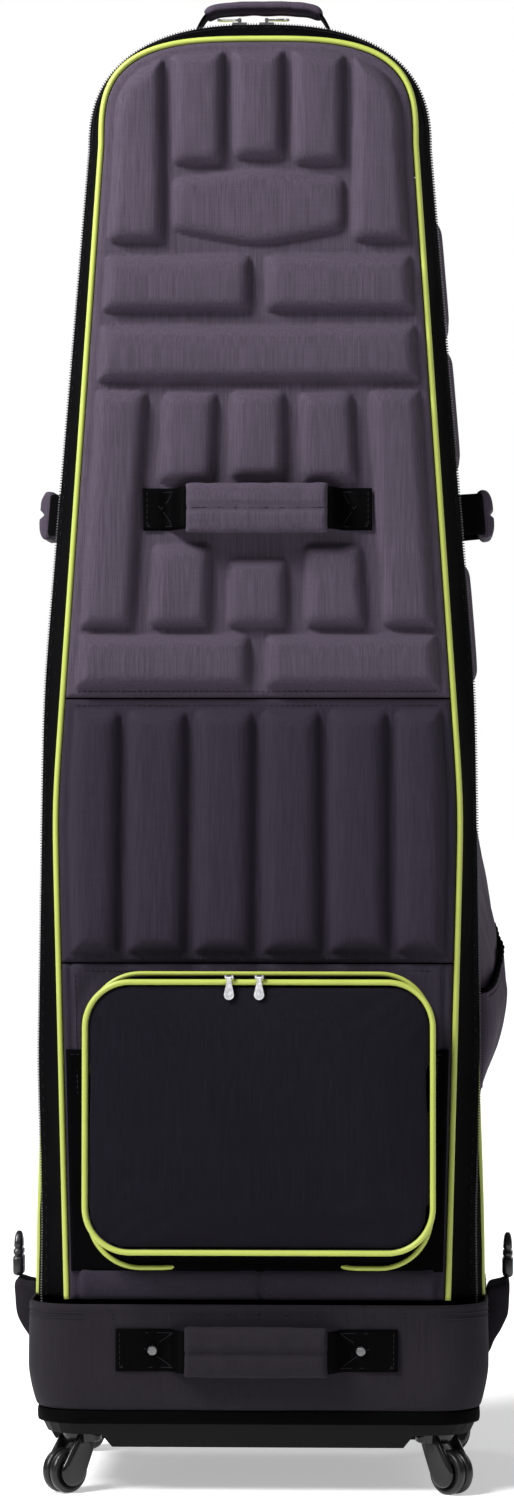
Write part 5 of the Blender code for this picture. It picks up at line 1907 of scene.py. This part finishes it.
@dataclass
class Pocket:
    """The front pocket: a gusset, a zip, two rows of piping and a soft padded cover that folds down."""

    half_width: float = 0.1475
    middle_x: float = 0.0025
    bottom: float = 0.2190
    top: float = 0.4465
    back_bottom: float = 0.2085
    spread: float = 0.0020
    apron_bottom: float = 0.1965
    apron_top: float = 0.3890
    tuck: tuple[float, float, float] = (0.0, 0.0048, 0.0010)
    corner: float = 0.036
    back_depth: float = 0.026
    chain_width: float = 0.004
    face_depth: float = 0.038
    flare: float = 0.006
    side_flare: float = 0.15
    piping_radius: float = 0.0022
    count: int = 480

    def loop(self, offset: float, depth: float) -> np.ndarray:
        """The cover's outline, moved outwards, at a depth in front of the lid. It ends where it starts."""
        half_height = (self.top - self.bottom) / 2
        sizes = (self.half_width + offset, half_height + offset, self.corner + offset)
        ring = rounded_rectangle(*sizes, self.count + 1)
        return SHAPE.at(ring + (self.middle_x, (self.top + self.bottom) / 2), -depth)

    def back_loop(self, offset: float, depth: float) -> np.ndarray:
        """The pocket's outline on the lid, which flares little at its sides. It ends where it starts."""
        half_height = (self.top - self.back_bottom) / 2 + offset
        half_width = self.half_width + offset * self.side_flare
        ring = rounded_rectangle(half_width, half_height, self.corner + offset, self.count + 1)
        return SHAPE.at(ring + (self.middle_x, (self.top + self.back_bottom) / 2), -depth)

    def outwards(self) -> np.ndarray:
        """The directions off the pocket's side at each point of its outline."""
        off = self.loop(0.01, 0) - self.loop(0, 0)
        return off / np.linalg.norm(off, axis=1, keepdims=True)

    def build(self) -> None:
        """Makes the pocket's pieces."""
        self.build_wall()
        self.build_zip()
        self.build_apron()
        out = self.outwards()
        rear = self.back_loop(self.flare + self.piping_radius + SHAPE.gap, self.piping_radius + 2 * SHAPE.gap)
        inner = 1 - np.clip((np.abs(rear[:, 0] - self.middle_x) - 0.066) / 0.020, 0, 1)
        rear = rear + (inner**2 * (3 - 2 * inner) * (rear[:, 2] < self.bottom))[:, None] * self.tuck
        cord = cord_mesh("pocket_rear_cord", rear, self.piping_radius, out, closed=True)
        show(cord, "pocket_rear_cord", LIME_CORD, "lid", ["pocket_rear_piping"])
        front = self.loop(SHAPE.piping_radius + SHAPE.gap, self.face_depth - SHAPE.piping_radius)
        cord = cord_mesh("pocket_front_cord", front, SHAPE.piping_radius, out, closed=True)
        show(cord, "pocket_front_cord", LIME_CORD, "pocket_flap", ["pocket_front_piping"])
        self.build_cover()

    def build_wall(self) -> None:
        """The gusset between the lid and the pocket's zip."""
        out = self.outwards()[:-1]
        rows = []
        for share in np.linspace(0, 1, 12):
            depth = 0.0005 + (self.back_depth - 0.0005) * share
            back = self.back_loop(self.flare * (1 - share) ** 1.3, depth)[:-1]
            ring = self.loop(0.0, depth)[:-1]
            rows.append(back + (ring - back) * share)
        outer = np.array(rows)
        outer += out[None] * (0.0007 * (ripple(outer, (0.03, 0.02, 0.03), 8) - 0.8))[..., None]
        mesh = solid("pocket_gusset", outer, outer - out[None] * 0.0022, ring=True)
        show(mesh, "pocket_gusset", GUSSET_CLOTH, "lid", ["pocket_wall"])

    def build_apron(self) -> None:
        """The black cloth behind and beside the pocket, with its top edge sewn down."""
        z = np.linspace(self.apron_bottom, self.apron_top, 90)[:, None]
        half = LID_FACE.half(z) - 0.0050
        x = half * np.linspace(-1, 1, 160)[None]
        behind = np.clip((self.half_width - 0.003 - np.abs(x - self.middle_x)) / 0.004, 0, 1)
        z = z + behind * (self.top - 0.008 - z[-1, 0]) * np.linspace(0, 1, len(z))[:, None]
        xz = np.stack((x, np.broadcast_to(z, x.shape)), axis=-1)
        inside = np.minimum(half - np.abs(x), np.minimum(z - self.apron_bottom, z[-1] - z))
        edge = np.clip(inside / 0.0018, 0, 1)
        waves = ripple(SHAPE.at(xz), (0.03, 0.03, 0.02), 14)
        proud = 0.0004 + 0.0011 * np.sqrt(1 - (1 - edge) ** 2) + 0.0009 * edge * waves
        mesh = solid("pocket_apron", SHAPE.at(xz, -proud), SHAPE.at(xz, 0.0020))
        show(mesh, "pocket_apron", GUSSET_CLOTH, "lid")
        top = SHAPE.at(xz[-3, 2:-2], -proud[-3, 2:-2] - 0.0001)
        lines = [(top, np.array((0.0, -1.0, 0.0)))]
        show(STITCHING.mesh("pocket_apron_stitches", lines), "pocket_apron_stitches", BLACK_THREAD, "lid")

    def build_zip(self) -> None:
        """The pocket's zip: one half on the gusset and one on the cover."""
        out = self.outwards()
        forwards = np.broadcast_to((0.0, -1.0, 0.0), out.shape)
        seam = self.loop(0.0002, self.back_depth + 0.4 * self.chain_width)
        small = ZipHalf(0.0021, (0.0009, 0.0024, 0.0013))
        small.build("pocket_rear_zip", "pocket_zip_chain", "lid", seam, out, forwards, 0.0016, 0.25)
        small.build("pocket_front_zip", "", "pocket_flap", seam, out, -forwards, 0.0010, 0.75)

    def build_cover(self) -> None:
        """The soft front of the pocket: a flat padded form, swollen, then creased."""
        quarter = 72
        half_height = (self.top - self.bottom) / 2
        full = self.spread
        sizes = (self.half_width + full, half_height + full, self.corner + full)
        ring = rounded_rectangle(*sizes, quarter * 4 + 1)
        bottom, right, top, left = (ring[k * quarter : (k + 1) * quarter + 1] for k in range(4))
        flat = coons(bottom, top[::-1], left[::-1], right)
        room = self.room(flat, ring)
        edge = np.clip(room / 0.0060, 0, 1)
        rim = self.back_depth + self.chain_width + 3 * SHAPE.gap
        depth = rim + 0.0058 * np.sqrt(1 - (1 - edge) ** 2) + 0.0025 * (1 - np.exp(-room / 0.030))
        xz = flat + (self.middle_x, (self.top + self.bottom) / 2)
        mesh = solid("pocket_cover_form", SHAPE.at(xz, -depth), SHAPE.at(xz, -rim))
        padded = Stuffing(voxel=0.0035, cap=0.0045, pressure=3.0).swell(mesh, self.held)
        points = np.array([v.co for v in padded.vertices])
        flat = points[:, (0, 2)] - (self.middle_x, (self.top + self.bottom) / 2)
        soft = np.clip(self.room(flat, ring) / 0.03, 0, 1)
        facing = np.clip((-self.depth_of(points) - rim) / 0.004, 0, 1)
        sag = np.clip(1 - (points[:, 2] - self.bottom) / 0.11, 0, 1)
        crease = 0.0009 * ripple(points, (0.08, 0.08, 0.05), 31)
        crease = crease + 0.0016 * sag * ripple(points, (0.10, 0.10, 0.018), 33)
        points[:, 1] -= soft * facing * crease
        padded.vertices.foreach_set("co", points.ravel())
        show(padded, "pocket_cover_cloth", POCKET_CLOTH, "pocket_flap", ["pocket_cover"])

    def room(self, points: np.ndarray, ring: np.ndarray) -> np.ndarray:
        """How far flat points are from the cover's edge."""
        tree = KDTree(len(ring))
        for i, (x, z) in enumerate(ring.tolist()):
            tree.insert((x, z, 0), i)
        tree.balance()
        found = [tree.find((x, z, 0))[2] for x, z in points.reshape(-1, 2).tolist()]
        return np.array(found).reshape(points.shape[:-1])

    def depth_of(self, points: np.ndarray) -> np.ndarray:
        """The depth of points behind the lid's face."""
        return points[:, 1] - SHAPE.front_y(points[:, 2])

    def held(self, points: np.ndarray) -> np.ndarray:
        """Which points of the cover its lining and its zip hold."""
        rim = self.back_depth + self.chain_width + 3 * SHAPE.gap
        return (-self.depth_of(points) < rim + 0.0025).astype(float)


# Hardware


@dataclass
class Casters:
    """Four casters with two-tread wheels in glossy forks."""

    radius: float = 0.0195
    width: float = 0.018
    bore: float = 0.0028
    trail: float = 0.020
    clearance: float = 0.0008
    housing_height: float = 0.0160
    housing_radius: float = 0.0174
    hub_radius: float = 0.0130
    shoulder_radius: float = 0.0100
    shoulder_drop: float = 0.0125
    shoulder_back: float = 0.78
    cheek_sections: tuple[tuple[float, float], ...] = (
        (0.0, 0.98),
        (0.0006, 1.0),
        (0.0022, 1.0),
        (0.0034, 0.95),
        (0.0041, 0.84),
        (0.0043, 0.6),
    )

    def wheel(self, name: str, centre: Vector, turn: float) -> bpy.types.Mesh:
        """A wheel's mesh.

        Args:
            name: Its name.
            centre: Its middle.
            turn: The way its fork points, in degrees.

        Returns:
            The mesh.
        """
        half, r = self.width / 2, self.radius
        tread = []
        for a in np.linspace(-math.pi / 2, math.pi / 2, 9):
            tread.append((r * (0.90 + 0.10 * math.cos(a)), half * 0.53 + half * 0.44 * math.sin(a)))
        hub = [(self.bore, half * 0.86), (r * 0.30, half * 0.90), (r * 0.34, half * 0.62)]
        upper = hub + [(r * 0.62, half * 0.60), (r * 0.68, half * 0.92)]
        upper += tread[::-1] + [(r * 0.84, 0.0004)]
        profile = upper + [(a, -b) for a, b in reversed(upper)]
        lay = Matrix.Rotation(math.radians(turn), 4, "Z") @ Matrix.Rotation(math.pi / 2, 4, "X")
        return turned(name, profile, 56, Matrix.Translation(centre) @ lay)

    def fork(self, name: str, centre: Vector, turn: float, ceiling: float) -> bpy.types.Mesh:
        """A fork's mesh: a domed housing and a rounded cheek on each side of the wheel.

        Args:
            name: Its name.
            centre: The wheel's middle.
            turn: The way the fork points, in degrees.
            ceiling: The height of the tray's underside over it.

        Returns:
            The mesh.
        """
        along = np.array((math.cos(math.radians(turn)), math.sin(math.radians(turn)), 0.0))
        across = np.array((-along[1], along[0], 0.0))
        axle = np.array(centre)
        pivot = axle - along * self.trail
        top = ceiling - axle[2]
        low, r = top - self.housing_height, self.housing_radius
        profile = [(0.0005, low), (r * 0.90, low), (r, low + 0.0012), (r, top - 0.0040)]
        profile += [(r * 0.97, top - 0.0016), (r * 0.88, top - 0.0003), (r * 0.70, top), (0.0005, top)]
        parts = [turned(f"{name}_housing", profile, 48, Matrix.Translation(pivot))]
        angle = np.linspace(0, 2 * np.pi, 96, endpoint=False)
        circle = np.column_stack((np.cos(angle), np.sin(angle)))
        hub = circle * self.hub_radius
        back = -self.trail * self.shoulder_back
        shoulder = circle * self.shoulder_radius + (back, top - self.shoulder_drop)
        far = np.maximum((hub @ circle.T).max(axis=0), (shoulder @ circle.T).max(axis=0))
        slope = np.gradient(np.concatenate((far[-1:], far, far[:1])), angle[1])[1:-1]
        outline = circle * far[:, None] + np.column_stack((-circle[:, 1], circle[:, 0])) * slope[:, None]
        middle = np.array((-self.trail * 0.3, 0.004))
        for side in (-1, 1):
            rings = []
            for out, scale in self.cheek_sections:
                flat = middle + (outline - middle) * scale
                level = side * (self.width / 2 + self.clearance + out)
                up = np.array((0, 0, 1.0)) * flat[:, 1:]
                rings.append(axle + along * flat[:, :1] + up + across * level)
            parts.append(tube(f"{name}_cheek", np.array(rings)))
        return merged(name, parts)

    def build(self) -> None:
        """Makes the wheels and the forks."""
        turns = {"front_left": 225, "front_right": 315, "rear_left": 135, "rear_right": 45}
        for place, turn in turns.items():
            low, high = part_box(f"caster_{place}_wheel")
            centre = (low + high) / 2
            name = f"caster_{place}_tyre"
            mesh = self.wheel(name, centre, turn)
            show(mesh, name, TREAD, f"wheel_{place}", [f"caster_{place}_wheel"])
            name = f"caster_{place}_fork"
            mesh = self.fork(name, centre, turn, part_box(f"caster_{place}_yoke")[1].z)
            show(mesh, name, WHEEL_PLASTIC, f"caster_{place}", [f"caster_{place}_yoke"])


@dataclass
class Wings:
    """The fabric wings at the sides of the base, each with a side-release buckle at its top."""

    middle_y: float = 0.015
    half_length: float = 0.030
    top_seam_z: float = 0.172
    outline: tuple[tuple[float, float], ...] = (
        (0.2015, 0.1060),
        (0.2080, 0.1200),
        (0.2165, 0.1340),
        (0.2208, 0.1440),
        (0.2218, 0.1560),
        (0.2216, 0.1735),
        (0.2120, 0.1722),
        (0.2040, 0.1690),
        (0.2010, 0.1560),
        (0.2005, 0.1300),
    )
    buckle_sections: tuple[tuple[float, float, float], ...] = (
        (0.00, 0.80, 0.55),
        (0.04, 0.96, 0.90),
        (0.10, 1.00, 1.00),
        (0.38, 1.00, 1.00),
        (0.42, 0.96, 0.92),
        (0.44, 0.80, 0.74),
        (0.48, 0.80, 0.74),
        (0.50, 0.94, 0.92),
        (0.58, 0.92, 0.90),
        (0.60, 0.74, 0.70),
        (0.64, 0.74, 0.70),
        (0.67, 0.84, 0.84),
        (0.82, 0.68, 0.76),
        (0.94, 0.50, 0.60),
        (1.00, 0.30, 0.34),
    )

    def build(self) -> None:
        """Makes the wings and the buckles."""
        closed = np.array(self.outline + self.outline[:1])
        ring = smooth_path(closed, 61)[:-1]
        middle = ring.mean(axis=0)
        for name, side in (("left", -1), ("right", 1)):
            rings = []
            for share in np.linspace(-1, 1, 41):
                shrink = 0.86 + 0.14 * (1 - abs(share) ** 14) ** 0.5
                flat = middle + (ring - middle) * shrink
                y = np.full(len(flat), self.middle_y + share * self.half_length)
                rings.append(np.column_stack((side * flat[:, 0], y, flat[:, 1])))
            points = np.array(rings)
            sag = 0.0008 * (1 + ripple(points, (0.02, 0.02, 0.014), 50))
            points[..., 0] -= side * sag * (points[..., 2] < self.top_seam_z)
            cloth = tube(f"wing_{name}_cloth", points)
            show(cloth, f"wing_{name}_cloth", BASE_CLOTH, "case", [f"wing_{name}"])
            self.build_buckle(name)

    def build_buckle(self, name: str) -> None:
        """One buckle: a ribbed body that narrows to a rounded tip.

        Args:
            name: Which side.
        """
        low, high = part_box(f"buckle_{name}")
        centre, half = (low + high) / 2, (high - low) / 2
        angle = np.linspace(0, 2 * np.pi, 40, endpoint=False)
        x = np.sign(np.cos(angle)) * np.abs(np.cos(angle)) ** 0.45
        y = np.sign(np.sin(angle)) * np.abs(np.sin(angle)) ** 0.45
        rings = []
        for share, wide, thick in self.buckle_sections:
            z = np.full(len(angle), low.z + (high.z - low.z) * share)
            rings.append(np.column_stack((centre.x + x * half.x * thick, centre.y + y * half.y * wide, z)))
        mesh = tube(f"buckle_{name}_body", np.array(rings))
        show(mesh, f"buckle_{name}_body", BUCKLE_PLASTIC, f"buckle_{name}", [f"buckle_{name}"])


@dataclass
class Hardware:
    """The zip sliders and their pulls."""

    edge: float = 0.0004

    def build(self) -> None:
        """Finishes the pieces."""
        for zip_name in ("main", "pocket"):
            for side in ("left", "right"):
                dress(f"{zip_name}_{side}_slider", PLATING, self.edge)
                dress(f"{zip_name}_{side}_pull", PLATING, self.edge)


# Studio


@dataclass
class Studio:
    """A pale floor, soft lights and the camera."""

    azimuth: float = 2.0
    distance: float = 4.30
    frame_height: float = 1.305
    eye_z: float = 0.650
    target_y: float = -0.140
    glow: float = 0.12
    floor_light: float = 0.42

    def light(self, name: str, place: tuple[float, float, float], size: float, power: float) -> None:
        """An area light that faces the case.

        Args:
            name: Its name.
            place: Where it is.
            size: Its width.
            power: Its power in watts.
        """
        lamp = bpy.data.lights.new(name, "AREA")
        lamp.size = size
        lamp.energy = power
        obj = bpy.data.objects.new(name, lamp)
        obj.location = place
        obj.rotation_mode = "QUATERNION"
        obj.rotation_quaternion = (Vector((0, 0, 0.75)) - Vector(place)).to_track_quat("-Z", "Y")
        bpy.context.scene.collection.objects.link(obj)

    def sun(self, name: str, lean: float, turn: float, spread: float, power: float) -> None:
        """A wide soft light from above the front.

        Args:
            name: Its name.
            lean: How far it leans from straight above, in degrees.
            turn: How far it comes from the left of the front, in degrees.
            spread: How wide it looks from the floor, in degrees.
            power: Its power in watts a square metre.
        """
        lamp = bpy.data.lights.new(name, "SUN")
        lamp.angle = math.radians(spread)
        lamp.energy = power
        obj = bpy.data.objects.new(name, lamp)
        obj.rotation_euler = (math.radians(lean), 0, -math.radians(turn))
        bpy.context.scene.collection.objects.link(obj)

    def build(self) -> None:
        """Makes the floor, the lights, the sky and the camera."""
        floor = bpy.data.objects.new("floor", mesh_of("floor", np.array(self.floor_points()), [(0, 1, 2, 3)]))
        bench = Bench("pale_floor")
        bench.set(Roughness=0.9, Specular_IOR_Level=0.1)
        bench.shader.inputs["Base Color"].default_value = (0.90, 0.90, 0.90, 1.0)
        bench.shader.inputs["Emission Color"].default_value = (1.0, 1.0, 1.0, 1.0)
        bench.set(Emission_Strength=self.floor_light)
        floor.data.materials.append(bench.material)
        bpy.context.scene.collection.objects.link(floor)
        self.sun("ceiling", 50.0, 44.0, 20.0, 3.3)
        self.light("key", (-0.95, -0.75, 1.95), 0.45, 34.0)
        self.light("fill", (1.6, -2.8, 1.5), 1.4, 5.0)
        self.light("back_left", (-2.2, 1.8, 1.8), 1.4, 12.0)
        self.light("back_right", (2.3, 1.6, 1.9), 1.4, 12.0)
        self.build_sky()
        bpy.context.scene.view_settings.view_transform = "Standard"
        self.build_camera()

    def build_sky(self) -> None:
        """A white backdrop that gives the case only a dim even light."""
        world = bpy.data.worlds.new("pale_sky")
        world.use_nodes = True
        tree = world.node_tree
        backdrop = tree.nodes["Background"]
        backdrop.inputs["Color"].default_value = (1.0, 1.0, 1.0, 1.0)
        glow = tree.nodes.new("ShaderNodeBackground")
        glow.inputs["Color"].default_value = (0.93, 0.94, 1.0, 1.0)
        glow.inputs["Strength"].default_value = self.glow
        choice = tree.nodes.new("ShaderNodeMixShader")
        tree.links.new(tree.nodes.new("ShaderNodeLightPath").outputs["Is Camera Ray"], choice.inputs["Fac"])
        tree.links.new(glow.outputs["Background"], choice.inputs[1])
        tree.links.new(backdrop.outputs["Background"], choice.inputs[2])
        tree.links.new(choice.outputs["Shader"], tree.nodes["World Output"].inputs["Surface"])
        bpy.context.scene.world = world

    def floor_points(self) -> list[tuple[float, float, float]]:
        """The floor's corners."""
        reach = 30.0
        return [(-reach, -reach, 0.0), (reach, -reach, 0.0), (reach, reach, 0.0), (-reach, reach, 0.0)]

    def build_camera(self) -> None:
        """The camera, level and a little to the right of the front."""
        data = bpy.data.cameras.new("camera")
        data.sensor_width = 36.0
        data.lens = data.sensor_width * self.distance / self.frame_height
        data.clip_end = 100.0
        camera = bpy.data.objects.new("camera", data)
        angle = math.radians(self.azimuth)
        aside, away = math.sin(angle) * self.distance, math.cos(angle) * self.distance
        camera.location = (aside, self.target_y - away, self.eye_z)
        camera.rotation_euler = (math.pi / 2, 0, angle)
        bpy.context.scene.collection.objects.link(camera)
        bpy.context.scene.camera = camera


def main() -> None:
    """Builds the sub-assemblies in order."""
    logging.basicConfig(level=logging.INFO, format="%(name)s: %(message)s")
    Studio().build()
    LidFace().build()
    Edging().build()
    Shell().build()
    SidePocket().build()
    Base().build()
    Handles().build()
    Pocket().build()
    Casters().build()
    Wings().build()
    Hardware().build()


if __name__ == "__main__":
    main()
